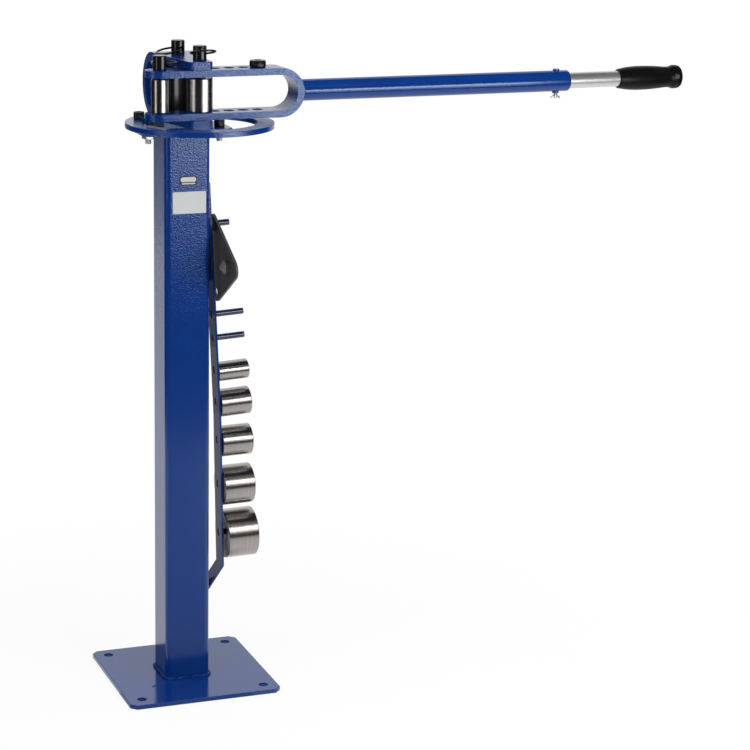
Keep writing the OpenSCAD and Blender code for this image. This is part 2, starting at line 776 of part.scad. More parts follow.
module storage_pegs() {
    color(blue) for (n = [0 : len(peg_zs) - 1]) on_bar(peg_zs[n]) {
        translate([0, 0, bar_t / 3]) cylinder(d = peg_root_d, h = bar_t * 2 / 3);
        translate([0, 0, bar_t / 2]) cylinder(d = peg_d, h = (n == 0 ? peg_short_len : peg_len) + bar_t / 2);
    }
}

// A stored die hangs on its peg, its bore resting on the top of the peg
module stored_die(d, z, off) {
    drop = (pin_hole_d - peg_d) / 2 - seat;
    color(steel) on_bar(z) translate([drop, 0, bar_t + off]) sleeve(d);
}

module die_30() {
    stored_die(die_a_d, peg_a_z, seat);
}

module die_43() {
    stored_die(die_b_d, peg_b_z, seat);
}

module die_48() {
    stored_die(die_c_d, peg_c_z, seat);
}

module die_62() {
    stored_die(die_d_d, peg_d_z, seat);
}

module die_76() {
    stored_die(die_e_d, peg_e_z, bar_t);
}

// Triangular plate with round corners, hung by its top corner on the top peg
module forming_plate() {
    corners = [[0, 0], [tri_side, 0], [tri_side / 2, -tri_h]];
    color(black) on_bar(peg_1_z) translate([seat, 0, bar_t + seat + tri_hub_t]) difference() {
        union() {
            linear_extrude(height = tri_t) union() {
                for (p = corners) translate(p) circle(r = tri_corner);
                for (n = [0 : 2]) {
                    a = corners[n];
                    b = corners[(n + 1) % 3];
                    translate(a) rotate(atan2(b[1] - a[1], b[0] - a[0])) translate([0, -tri_corner])
                        square([tri_side, 2 * tri_corner]);
                }
                polygon(corners);
            }
            translate([0, 0, -tri_hub_t]) cylinder(d = tri_hub_d, h = tri_hub_t + tri_t / 2);
            translate([tri_side / 2, -tri_h * tri_stud_share, -tri_stud_len])
                cylinder(d = tri_stud_d, h = tri_stud_len + tri_t / 2);
        }
        translate([0, 0, -tri_hub_t - over]) cylinder(d = tri_hole_d, h = tri_hub_t + tri_t + 2 * over);
        translate([tri_side, 0, -over]) cylinder(d = pin_hole_d, h = tri_t + 2 * over);
    }
}

foot_plate();
foot_weld();
post();
post_flange();
head_flange();
riser_block();
flange_screws();
flange_nuts();
angle_ring();
degree_scale();
ring_stop_screw();
ring_stop_nut();
fixed_frame();
swing_yoke();
handle_tube();
handle_weld();
extension_tube();
hand_grip();
clamp_boss();
clamp_screw();
guide_button();
centre_pin();
rear_pin();
follower_pin();
centre_pull_ring();
rear_pull_ring();
follower_pull_ring();
centre_roller();
follower_roller();
stop_block();
yoke_plug();
storage_bar();
storage_pegs();
die_30();
die_43();
die_48();
die_62();
die_76();
forming_plate();
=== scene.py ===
"""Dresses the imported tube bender: finishes, welds, fasteners, grip and studio.

The CAD nodes keep their places. Each sub-assembly is a dataclass that holds its own sizes, adds
what the solids leave out, and names the body that every new piece rides on. Lengths are metres.
"""

from __future__ import annotations

import json
import logging
import math
import sys
from dataclasses import dataclass, field
from enum import Enum
from typing import Callable, Iterable, Mapping, Sequence

import bpy
import bmesh
import numpy as np
from mathutils import Matrix, Vector

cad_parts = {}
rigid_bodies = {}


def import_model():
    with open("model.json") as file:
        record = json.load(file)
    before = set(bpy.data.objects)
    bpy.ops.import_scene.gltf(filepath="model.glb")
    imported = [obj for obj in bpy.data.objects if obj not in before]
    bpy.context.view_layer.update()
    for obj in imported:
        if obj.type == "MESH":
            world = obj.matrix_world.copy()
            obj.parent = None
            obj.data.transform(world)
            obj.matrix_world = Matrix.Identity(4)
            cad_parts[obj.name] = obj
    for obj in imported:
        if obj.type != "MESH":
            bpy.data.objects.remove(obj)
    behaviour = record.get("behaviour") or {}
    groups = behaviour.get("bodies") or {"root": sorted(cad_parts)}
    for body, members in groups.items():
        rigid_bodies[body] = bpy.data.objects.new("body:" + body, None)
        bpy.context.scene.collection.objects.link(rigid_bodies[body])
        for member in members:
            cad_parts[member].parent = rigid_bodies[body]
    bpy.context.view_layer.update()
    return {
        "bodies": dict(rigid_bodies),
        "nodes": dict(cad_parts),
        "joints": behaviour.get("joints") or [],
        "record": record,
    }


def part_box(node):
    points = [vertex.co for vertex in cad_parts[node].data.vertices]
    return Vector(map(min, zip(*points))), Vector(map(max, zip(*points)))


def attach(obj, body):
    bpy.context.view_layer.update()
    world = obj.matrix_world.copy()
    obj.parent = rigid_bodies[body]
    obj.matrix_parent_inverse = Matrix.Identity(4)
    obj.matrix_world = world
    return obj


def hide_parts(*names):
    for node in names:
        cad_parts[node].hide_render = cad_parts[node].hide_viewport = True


MM = 0.001
TAU = 2.0 * math.pi
LOG = logging.getLogger("tube_bender")
WHITE = (1.0, 1.0, 1.0, 1.0)
SAME_POINT = 1e-7
SMOOTH_BELOW = 40.0
Number = float | int
Point = Sequence[float]
Row = tuple[object, object]
Pair = tuple[float, float]
Triple = tuple[float, float, float]
Four = tuple[float, float, float, float]


class Slot(str, Enum):
    """The record's material slots."""

    PAINT = "blue_paint"
    BLACK = "black_oxide"
    STEEL = "turned_steel"
    ZINC = "zinc_plate"
    SCALE = "scale_metal"
    GRIP = "grip_rubber"
    PLATE = "plate_paint"


class Rides(str, Enum):
    """The CAD bodies that new pieces ride on."""

    STAND = "stand"
    YOKE = "yoke"
    EXTENSION = "extension"
    CLAMP = "clamp"
    FORMING_PLATE = "forming_plate"


class Look(str, Enum):
    """Every material but the turned steels, which are one to a piece."""

    PAINT = "blue_paint"
    SMOOTH_PAINT = "blue_paint_smooth"
    WELD_PAINT = "blue_paint_weld"
    PEG_PAINT = "blue_paint_pegs"
    BLACK = "black_oxide"
    ZINC = "zinc_plate"
    SCALE = "scale_metal"
    GRIP = "grip_rubber"
    RECESS = "grip_recess"
    PLATE = "plate_paint"
    # The forming plate's cone: its grey is lifted as painted light.
    STUD = "worn_stud"
    LABEL = "blank_label"


def sign(operation: str, reflected: bool = False) -> Callable[[Wire, object], Wire]:
    """A Wire operator: the two sides of an arithmetic sign go through a Math node.

    Args:
        operation: the Math node's operation.
        reflected: the wire stands on the right of the sign.

    Returns:
        The method.
    """
    def apply(self: Wire, other: object) -> Wire:
        """Adds the Math node."""
        sides = (other, self) if reflected else (self, other)
        return self.to("ShaderNodeMath", 0, dict(enumerate(sides)), operation=operation)

    return apply


class Wire:
    """One output socket of a shader tree. Arithmetic on it adds Math nodes."""

    __add__, __radd__ = sign("ADD"), sign("ADD", True)
    __mul__, __rmul__ = sign("MULTIPLY"), sign("MULTIPLY", True)
    __sub__, __pow__ = sign("SUBTRACT"), sign("POWER")

    def __init__(self, tree: bpy.types.NodeTree, socket: bpy.types.NodeSocket) -> None:
        """Wraps an output socket of a tree."""
        self.tree = tree
        self.socket = socket

    @classmethod
    def add(cls, tree: bpy.types.NodeTree, kind: str, out: int | str = 0,
            feeds: Mapping[str | int, object] | None = None, **settings: object) -> Wire:
        """Adds any node.

        Args:
            tree: where the node goes.
            kind: Blender's node type.
            out: the output wanted.
            feeds: input names or numbers with a Wire or a constant each.
            settings: the node's own properties.

        Returns:
            The wanted output.
        """
        node = tree.nodes.new(kind)
        for name, value in settings.items():
            setattr(node, name, value)
        for key, value in (feeds or {}).items():
            if isinstance(value, Wire):
                tree.links.new(value.socket, node.inputs[key])
            else:
                node.inputs[key].default_value = value
        return cls(tree, node.outputs[out])

    def to(self, kind: str, out: int | str = 0, feeds: Mapping[str | int, object] | None = None,
           **settings: object) -> Wire:
        """Adds any node in this wire's tree. The arguments are those of add."""
        return Wire.add(self.tree, kind, out, feeds, **settings)

    def math(self, operation: str, other: Number) -> Wire:
        """Adds a Math node that takes this wire first."""
        return sign(operation)(self, other)

    def into(self, node: bpy.types.Node, name: str) -> None:
        """Links this wire to an input of a node."""
        self.tree.links.new(self.socket, node.inputs[name])

    def steps(self, stops: Sequence[tuple[float, Point]]) -> Wire:
        """A colour ramp driven by this wire.

        Args:
            stops: place and colour of each stop, in order.

        Returns:
            The ramp's colour.
        """
        made = self.to("ShaderNodeValToRGB", 0, {0: self})
        ramp = made.socket.node.color_ramp
        ramp.interpolation = "LINEAR"
        for element, (place, colour) in zip(ramp.elements, stops, strict=True):
            element.position = place
            element.color = (*colour, 1.0)
        return made


@dataclass(frozen=True)
class Layout:
    """Places read from the frame: everything that the dressing is worked out from."""

    pivot: Vector
    post_low: Vector
    post_high: Vector
    foot_top: float
    ring_top: float
    yoke_low: float
    yoke_top: float
    yoke_end: float
    yoke_mid: float

    @classmethod
    def read(cls) -> Layout:
        """Returns:
            The layout of the loaded frame.
        """
        roller_low, roller_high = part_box("centre_roller")
        post_low, post_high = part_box("post")
        ring_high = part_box("angle_ring")[1]
        yoke_low, yoke_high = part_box("swing_yoke")
        middle = (roller_low + roller_high) / 2
        return cls(Vector((middle.x, middle.y, ring_high.z)), post_low, post_high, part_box("foot_plate")[1].z,
                   ring_high.z, yoke_low.z, yoke_high.z, yoke_high.x, (yoke_low.z + yoke_high.z) / 2)


def full_turn(steps: int) -> np.ndarray:
    """Returns:
        Evenly spaced angles round a turn, the last one short of the first.
    """
    return np.arange(steps) / steps * TAU


def unit(rows: np.ndarray) -> np.ndarray:
    """Returns:
        Each row divided by its own length.
    """
    return rows / np.linalg.norm(rows, axis=1, keepdims=True)


def run_length(path: np.ndarray) -> np.ndarray:
    """Returns:
        The distance of each point from the first one, summed along the path.
    """
    return np.concatenate(([0.0], np.cumsum(np.linalg.norm(np.diff(path, axis=0), axis=1))))


def grid_faces(rows: int, columns: int, wrap_rows: bool, wrap_columns: bool) -> np.ndarray:
    """Quads of a grid of points.

    Args:
        rows: points along the first direction.
        columns: points along the second direction.
        wrap_rows: join the last row to the first.
        wrap_columns: join the last column to the first.

    Returns:
        Vertex numbers, four to a face.
    """
    i = np.arange(rows if wrap_rows else rows - 1)[:, None]
    j = np.arange(columns if wrap_columns else columns - 1)[None, :]
    i_next = (i + 1) % rows
    j_next = (j + 1) % columns
    corners = (i * columns + j, i * columns + j_next, i_next * columns + j_next, i_next * columns + j)
    return np.stack(np.broadcast_arrays(*corners), -1).reshape(-1, 4)


class Shell:
    """Gathers parametric surfaces into one mesh."""

    def __init__(self) -> None:
        """Starts without a surface."""
        self.points: list[np.ndarray] = []
        self.faces: list[tuple[int, ...]] = []
        self.count = 0

    def grid(self, points: np.ndarray, wrap_rows: bool = False, wrap_columns: bool = False,
             caps: bool = False) -> Shell:
        """Adds a grid surface.

        Args:
            points: rows by columns by three coordinates.
            wrap_rows: join the last row to the first.
            wrap_columns: join the last column to the first.
            caps: close the first and the last row with a face each.

        Returns:
            The shell itself.
        """
        rows, columns = points.shape[:2]
        quads = grid_faces(rows, columns, wrap_rows, wrap_columns) + self.count
        self.faces.extend(map(tuple, quads.tolist()))
        if caps:
            ring = np.arange(columns) + self.count
            self.faces.append(tuple(ring[::-1].tolist()))
            self.faces.append(tuple((ring + (rows - 1) * columns).tolist()))
        self.points.append(points.reshape(-1, 3))
        self.count += rows * columns
        return self

    def build(self, name: str, smooth_below: float = SMOOTH_BELOW) -> bpy.types.Object:
        """Makes the object.

        Args:
            name: the object's name.
            smooth_below: edges flatter than this many degrees shade smooth.

        Returns:
            The linked object, at the origin.
        """
        mesh = bpy.data.meshes.new(name)
        mesh.from_pydata(np.concatenate(self.points).tolist(), [], self.faces)
        work = bmesh.new()
        work.from_mesh(mesh)
        bmesh.ops.remove_doubles(work, verts=work.verts, dist=SAME_POINT)
        bmesh.ops.recalc_face_normals(work, faces=work.faces)
        work.to_mesh(mesh)
        work.free()
        mesh.polygons.foreach_set("use_smooth", np.ones(len(mesh.polygons), bool))
        mesh.set_sharp_from_angle(angle=math.radians(smooth_below))
        mesh.update()
        return link(name, mesh)


def link(name: str, data: bpy.types.ID) -> bpy.types.Object:
    """Makes an object at the origin.

    Args:
        name: the object's name.
        data: its mesh, lamp or camera.

    Returns:
        The object, linked to the scene.
    """
    made = bpy.data.objects.new(name, data)
    bpy.context.scene.collection.objects.link(made)
    return made


def turned(rows: Iterable[Row], steps: int, place: Matrix) -> np.ndarray:
    """A lathe surface about its own Z, whose rows may vary round the turn.

    Args:
        rows: radius and height of each row, each a number or one value per step.
        steps: points round the turn.
        place: from the piece's own axes to the frame.

    Returns:
        Rows by steps by three coordinates.
    """
    angle = full_turn(steps)
    rings = []
    for radius, height in rows:
        r = np.broadcast_to(np.asarray(radius, float), angle.shape)
        z = np.broadcast_to(np.asarray(height, float), angle.shape)
        rings.append(np.stack((r * np.cos(angle), r * np.sin(angle), z), -1))
    m = np.array(place, float)
    return np.stack(rings) @ m[:3, :3].T + m[:3, 3]


def upright(place: Point, axis: Point = (0, 0, 1)) -> Matrix:
    """A placement whose Z lies along an axis.

    Args:
        place: the origin of the piece's own axes.
        axis: direction of its Z.

    Returns:
        The matrix.
    """
    turn = Vector(axis).to_track_quat("Z", "Y").to_matrix().to_4x4()
    return Matrix.Translation(Vector(place)) @ turn


@dataclass(frozen=True)
class Bead:
    """A hand-laid weld bead: overlapping half-moon ripples with a slow wander."""

    radius: float
    seed: int
    closed: bool = False
    pitch: float = 2.6 * MM
    steps: int = 14
    level: float = 0.76
    ripple: float = 0.34
    wander: float = 0.12
    lean: float = 0.35
    waves: Pair = (7.3, 3.1)
    second_wave: float = 0.6
    ease_length: float = 1.6
    least_ease: float = 0.05

    def _radius(self, length: np.ndarray, angle: np.ndarray) -> np.ndarray:
        """Radius: |sine| of the leaning distance for the ripples, two sines of it for the wander.

        Args:
            length: distance of each path point along the bead.
            angle: the section's angles, one row per path point.

        Returns:
            The radius on the grid.
        """
        phase = np.random.default_rng(self.seed).uniform(0, TAU, 3)
        along = length[:, None] + self.lean * self.pitch * np.cos(2 * (angle - math.pi / 4))
        ripple = np.abs(np.sin(math.pi * along / self.pitch + phase[0]))
        slow, fast = (np.sin(TAU * along / (self.pitch * wave) + shift)
                      for wave, shift in zip(self.waves, phase[1:]))
        return self.radius * (self.level + self.ripple * ripple + self.wander * (slow + self.second_wave * fast))

    def build(self, name: str, path: np.ndarray, lift: np.ndarray) -> bpy.types.Object:
        """Carries the section along a path, square to its tangent. The ends of an open bead ease off.

        Args:
            name: the object's name.
            path: points along the joint.
            lift: unit vector out of the joint at each point.

        Returns:
            The bead.
        """
        following = np.roll(path, -1, 0) - np.roll(path, 1, 0)
        if not self.closed:
            following[0] = path[1] - path[0]
            following[-1] = path[-1] - path[-2]
        tangent = unit(following)
        side = unit(np.cross(tangent, lift))
        up = np.cross(side, tangent)
        length = run_length(path)
        ease = np.ones(len(path))
        if not self.closed:
            from_end = np.minimum(length, length[-1] - length) / (self.ease_length * self.radius)
            ease = np.clip(from_end, self.least_ease, 1.0) ** 0.5
        angle = np.broadcast_to(full_turn(self.steps), (len(path), self.steps))
        radius = (self._radius(length, angle) * ease[:, None])[..., None]
        across = np.cos(angle)[..., None] * side[:, None, :]
        raised = np.sin(angle)[..., None] * up[:, None, :]
        points = path[:, None, :] + radius * (across + raised)
        return Shell().grid(points, wrap_rows=self.closed, wrap_columns=True, caps=not self.closed).build(name)


def rounded_loop(half_x: float, half_y: float, corner: float, spacing: float) -> tuple[np.ndarray, np.ndarray]:
    """A rectangle with round corners: quarter arcs about four centres, resampled by length.

    Args:
        half_x: half its width.
        half_y: half its depth.
        corner: its corner radius.
        spacing: distance between points.

    Returns:
        The points in the plane and the outward normal at each.
    """
    turn = np.linspace(0, math.pi / 2, 12)
    angles = np.concatenate([turn + k * math.pi / 2 for k in range(4)])
    signs = np.repeat(np.array([(1, 1), (-1, 1), (-1, -1), (1, -1)], float), len(turn), axis=0)
    centres = signs * np.array([half_x - corner, half_y - corner])
    normals = np.stack((np.cos(angles), np.sin(angles)), -1)
    points = centres + corner * normals
    whole = np.concatenate((points, points[:1]))
    whole_normals = np.concatenate((normals, normals[:1]))
    along = run_length(whole)
    wanted = np.arange(0, along[-1] - spacing / 2, spacing)
    even, outward = (np.stack([np.interp(wanted, along, rows[:, k]) for k in range(2)], -1)
                     for rows in (whole, whole_normals))
    return even, unit(outward)


@dataclass(frozen=True)
class Finish:
    """Constants of one surface. Relief is a depth, grain a count per metre, mottle a share of the colour."""

    colour: Triple
    metallic: float
    roughness: float
    relief: float
    grain: float
    mottle: float
    specular: float = 0.5
    tint: Triple = (1.0, 1.0, 1.0)
    stretch: Triple = (1.0, 1.0, 1.0)


ENAMEL = Finish((0.0018, 0.028, 0.174), 0.0, 0.14, 0.34 * MM, 400.0, 0.10, 0.58, (0.82, 0.96, 1.0))
STEEL = Finish((0.38, 0.355, 0.34), 1.0, 0.22, 0.08 * MM, 2600.0, 0.14)
FINISHES = {
    Look.PAINT: ENAMEL,
    Look.SMOOTH_PAINT: ENAMEL,
    Look.WELD_PAINT: ENAMEL,
    Look.PEG_PAINT: Finish((0.003, 0.013, 0.060), 0.0, 0.16, 0.03 * MM, 800.0, 0.12, 0.80),
    Look.BLACK: Finish((0.006, 0.006, 0.0065), 0.0, 0.19, 0.012 * MM, 1500.0, 0.25, 0.36),
    Look.ZINC: Finish((0.66, 0.67, 0.68), 0.88, 0.36, 0.010 * MM, 500.0, 0.10, stretch=(0.12, 1.0, 1.0)),
    Look.SCALE: Finish((0.60, 0.61, 0.61), 0.8, 0.35, 0.010 * MM, 900.0, 0.05),
    Look.GRIP: Finish((0.0035, 0.0035, 0.004), 0.0, 0.36, 0.02 * MM, 1100.0, 0.15, 0.16),
    Look.RECESS: Finish((0.055, 0.055, 0.058), 0.0, 0.55, 0.03 * MM, 1400.0, 0.15, 0.30),
    Look.PLATE: Finish((0.052, 0.051, 0.051), 0.0, 0.50, 0.04 * MM, 420.0, 0.12, 0.35),
    Look.LABEL: Finish((0.53, 0.55, 0.555), 0.0, 0.42, 0.010 * MM, 600.0, 0.05, 0.30),
    # The cone's grey is lighter than the plate's. This is painted light, for a stud that catches more light than
    # the shaded plate round it.
    Look.STUD: Finish((0.12, 0.12, 0.122), 0.2, 0.36, 0.02 * MM, 700.0, 0.15),
}
SLOTS = {
    Look.SMOOTH_PAINT: Slot.PAINT, Look.WELD_PAINT: Slot.PAINT, Look.PEG_PAINT: Slot.PAINT,
    Look.RECESS: Slot.GRIP, Look.STUD: Slot.PLATE, Look.LABEL: Slot.SCALE,
}


@dataclass
class Finishes:
    """Makes each material once, from object coordinates alone."""

    fade: Four = (0.28, 0.92, 0.10, 1.40)
    relief_share: Mapping[Look, float] = field(
        default_factory=lambda: {Look.SMOOTH_PAINT: 0.25, Look.WELD_PAINT: 1.8})
    made: dict[str, bpy.types.Material] = field(default_factory=dict)

    def _start(self, name: str, finish: Finish) -> tuple[bpy.types.Node, Wire]:
        """Starts a material and sets its constants.

        Args:
            name: the material's name.
            finish: the constants.

        Returns:
            Its shader and its object coordinates.
        """
        material = bpy.data.materials.new(name)
        material.use_nodes = True
        shader = material.node_tree.nodes["Principled BSDF"]
        for key, value in (("Base Color", (*finish.colour, 1.0)), ("Metallic", finish.metallic),
                           ("Roughness", finish.roughness), ("Specular IOR Level", finish.specular),
                           ("Specular Tint", (*finish.tint, 1.0))):
            shader.inputs[key].default_value = value
        self.made[name] = material
        return shader, Wire.add(material.node_tree, "ShaderNodeTexCoord", "Object")

    @staticmethod
    def _noise(place: Wire, scale: float, detail: float) -> Wire:
        """Fractal noise of a place."""
        return place.to("ShaderNodeTexNoise", 0, {"Vector": place, "Scale": scale, "Detail": detail})

    @staticmethod
    def _dress(shader: bpy.types.Node, finish: Finish, tone: Wire, gloss: Wire, spread: float,
               relief: Wire) -> None:
        """Feeds the shader: mottled colour, uneven roughness and a bump.

        Args:
            shader: the Principled node.
            finish: the constants that the fields vary about.
            tone: the field that mottles the colour, from darker to lighter.
            gloss: the field that moves the roughness.
            spread: by what share it moves it both ways.
            relief: the field of the heights.
        """
        shades = [[min(1.0, c * (1 + way * finish.mottle)) for c in finish.colour] for way in (-1, 1)]
        tone.steps(list(zip((0.25, 0.75), shades))).into(shader, "Base Color")
        (finish.roughness * (1.0 - spread + 2.0 * spread * gloss)).into(shader, "Roughness")
        heights = {"Height": relief, "Distance": finish.relief, "Strength": 1.0}
        relief.to("ShaderNodeBump", 0, heights).into(shader, "Normal")

    def _plain(self, look: Look) -> None:
        """A grained surface: fine and broad noise, drawn out by the finish's stretch.

        Args:
            look: which material.
        """
        finish = FINISHES[look]
        shader, place = self._start(look.value, finish)
        drawn = place.to("ShaderNodeVectorMath", 0, {0: place, 1: finish.stretch}, operation="MULTIPLY")
        fine = self._noise(drawn, finish.grain, 3.0)
        broad = self._noise(drawn, finish.grain * 0.06, 2.0)
        self._dress(shader, finish, broad * 0.7 + fine * 0.3, broad, 0.15, fine)

    def _enamel(self, look: Look) -> None:
        """Hammered enamel: soft cells and orange peel. On the open paint both fade towards the foot.

        Args:
            look: which enamel.
        """
        finish = FINISHES[look]
        shader, place = self._start(look.value, finish)
        cells = place.to("ShaderNodeTexVoronoi", 0, {"Vector": place, "Scale": finish.grain, "Smoothness": 0.5},
                         feature="SMOOTH_F1")
        peel = self._noise(place, finish.grain * 1.9, 2.0)
        broad = self._noise(place, finish.grain * 0.05, 2.0)
        share: object = self.relief_share.get(look)
        if share is None:
            height = place.to("ShaderNodeSeparateXYZ", "Z", {0: place})
            share = height.to("ShaderNodeMapRange", 0, {0: height, **dict(enumerate(self.fade, 1))},
                              interpolation_type="SMOOTHSTEP")
        relief = (cells * 0.7 + peel * 0.5) * share
        self._dress(shader, finish, broad * 0.6 + cells * 0.4, broad, 0.12, relief)

    def get(self, look: Look) -> bpy.types.Material:
        """The material of a look, made at its first use.

        Args:
            look: which one.

        Returns:
            The material.
        """
        if look.value not in self.made:
            (self._enamel if FINISHES[look] is ENAMEL else self._plain)(look)
        return self.made[look.value]

    def turned_steel(self, name: str, centre: Vector, axis: Vector) -> bpy.types.Material:
        """Bright steel from the lathe: noise of the distance along the axis plus that from it, so that
        the tool marks run round the axis, and round the ends as rings.

        Args:
            name: the material's name.
            centre: a point on the axis.
            axis: the unit axis.

        Returns:
            The material.
        """
        shader, place = self._start(name, STEEL)
        offset = place.to("ShaderNodeVectorMath", 0, {0: place, 1: tuple(centre)}, operation="SUBTRACT")
        along = offset.to("ShaderNodeVectorMath", "Value", {0: offset, 1: tuple(axis)}, operation="DOT_PRODUCT")
        whole = offset.to("ShaderNodeVectorMath", "Value", {0: offset}, operation="LENGTH")
        cut = along + (whole * whole - along * along).math("MAXIMUM", 0.0) ** 0.5
        marks, bands = (cut.to("ShaderNodeTexNoise", 0, {"W": cut, "Scale": STEEL.grain * share, "Detail": detail},
                               noise_dimensions="1D") for share, detail in ((1.0, 3.0), (0.12, 1.0)))
        self._dress(shader, STEEL, marks * 0.5 + bands * 0.5, bands, 0.2, marks)
        return self.made[name]


@dataclass
class SubAssembly:
    """What every sub-assembly works from: the places read from the frame, and the materials."""

    layout: Layout
    finishes: Finishes

    def put(self, made: bpy.types.Object, look: Look, body: Rides, *replaced: str) -> bpy.types.Object:
        """Gives a new piece its material and its body.

        Args:
            made: the piece.
            look: its material.
            body: the CAD body that it rides on.
            replaced: CAD nodes that it stands for.

        Returns:
            The piece.
        """
        made.data.materials.clear()
        made.data.materials.append(self.finishes.get(look))
        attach(made, body.value)
        SLOTS.get(look, look).value
        if replaced:
            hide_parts(*replaced)
        LOG.info("piece %s on %s, %d faces", made.name, body.value, len(made.data.polygons))
        return made

    def second(self, made: bpy.types.Object, look: Look, chosen: Callable[[np.ndarray], np.ndarray]) -> None:
        """Gives some faces of a piece a second material.

        Args:
            made: the piece.
            look: the second material.
            chosen: says which faces, from the middles of all faces.
        """
        made.data.materials.append(self.finishes.get(look))
        faces = made.data.polygons
        centres = np.empty(len(faces) * 3)
        faces.foreach_get("center", centres)
        faces.foreach_set("material_index", chosen(centres.reshape(-1, 3)).astype(np.int32))


@dataclass
class CadFinish:
    """Finishes the CAD nodes that stay in view: material, smooth shading and rounded edges."""

    frame: Mapping[str, object]
    finishes: Finishes
    edge: float = 0.7 * MM
    edge_steps: int = 2
    edge_angle: float = 40.0
    joined: float = 0.002 * MM
    whole_plane: float = 0.4
    edges: Mapping[str, float] = field(default_factory=lambda: {
        **dict.fromkeys(("post", "handle_tube", "extension_tube", "centre_pull_ring", "rear_pull_ring",
                         "follower_pull_ring"), 0.0),
        **dict.fromkeys(("die_30", "die_43", "die_48", "die_62", "die_76", "centre_roller", "follower_roller"),
                        0.3 * MM),
        "foot_plate": 1.2 * MM, "angle_ring": 0.9 * MM, "fixed_frame": 1.3 * MM, "swing_yoke": 1.2 * MM,
        "degree_scale": 0.15 * MM, "storage_bar": 0.6 * MM, "storage_pegs": 0.5 * MM,
    })
    looks: Mapping[str, Look] = field(default_factory=lambda: {
        "handle_tube": Look.SMOOTH_PAINT, "storage_pegs": Look.PEG_PAINT})

    def _material(self, node: str, slot: str) -> bpy.types.Material:
        """The material of a node. Rollers and dies have one each, along the axis of their joint.

        Args:
            node: the node's name.
            slot: its material slot in the record.

        Returns:
            The material.
        """
        if slot != Slot.STEEL.value:
            return self.finishes.get(self.looks.get(node) or Look(slot))
        low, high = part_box(node)
        axis = next(joint["axis"] for joint in self.frame["joints"] if joint["child"] == node)
        return self.finishes.turned_steel(f"{slot}_{node}", (low + high) / 2, Vector(axis).normalized())

    def _soften(self, node: bpy.types.Object, width: float) -> None:
        """Rounds a node's edges and weights its normals, so that flat faces stay flat.

        Args:
            node: the node.
            width: width of the rounding.
        """
        mesh, add = node.data, node.modifiers.new
        normals = mesh.attributes.get("custom_normal")
        if normals is not None:
            mesh.attributes.remove(normals)
        add("joined_corners", "WELD").merge_threshold = self.joined
        planes = add("whole_planes", "DECIMATE")
        planes.decimate_type = "DISSOLVE"
        planes.angle_limit = math.radians(self.whole_plane)
        bevel = add("edge_round", "BEVEL")
        bevel.width = width
        bevel.segments = self.edge_steps
        bevel.limit_method = "ANGLE"
        bevel.angle_limit = math.radians(self.edge_angle)
        bevel.miter_outer = "MITER_ARC"
        bevel.use_clamp_overlap = True
        mesh.polygons.foreach_set("use_smooth", np.ones(len(mesh.polygons), bool))
        weighted = add("flat_faces", "WEIGHTED_NORMAL")
        weighted.weight = 100
        weighted.keep_sharp = False

    def build(self) -> None:
        """Finishes every node."""
        slots = {row["node"]: row["material_slot"] for row in self.frame["record"]["subparts"]}
        for name, node in self.frame["nodes"].items():
            node.data.materials.clear()
            node.data.materials.append(self._material(name, slots[name]))
            width = self.edges.get(name, self.edge)
            if width > 0:
                self._soften(node, width)
            LOG.info("finished %s as %s", name, slots[name])


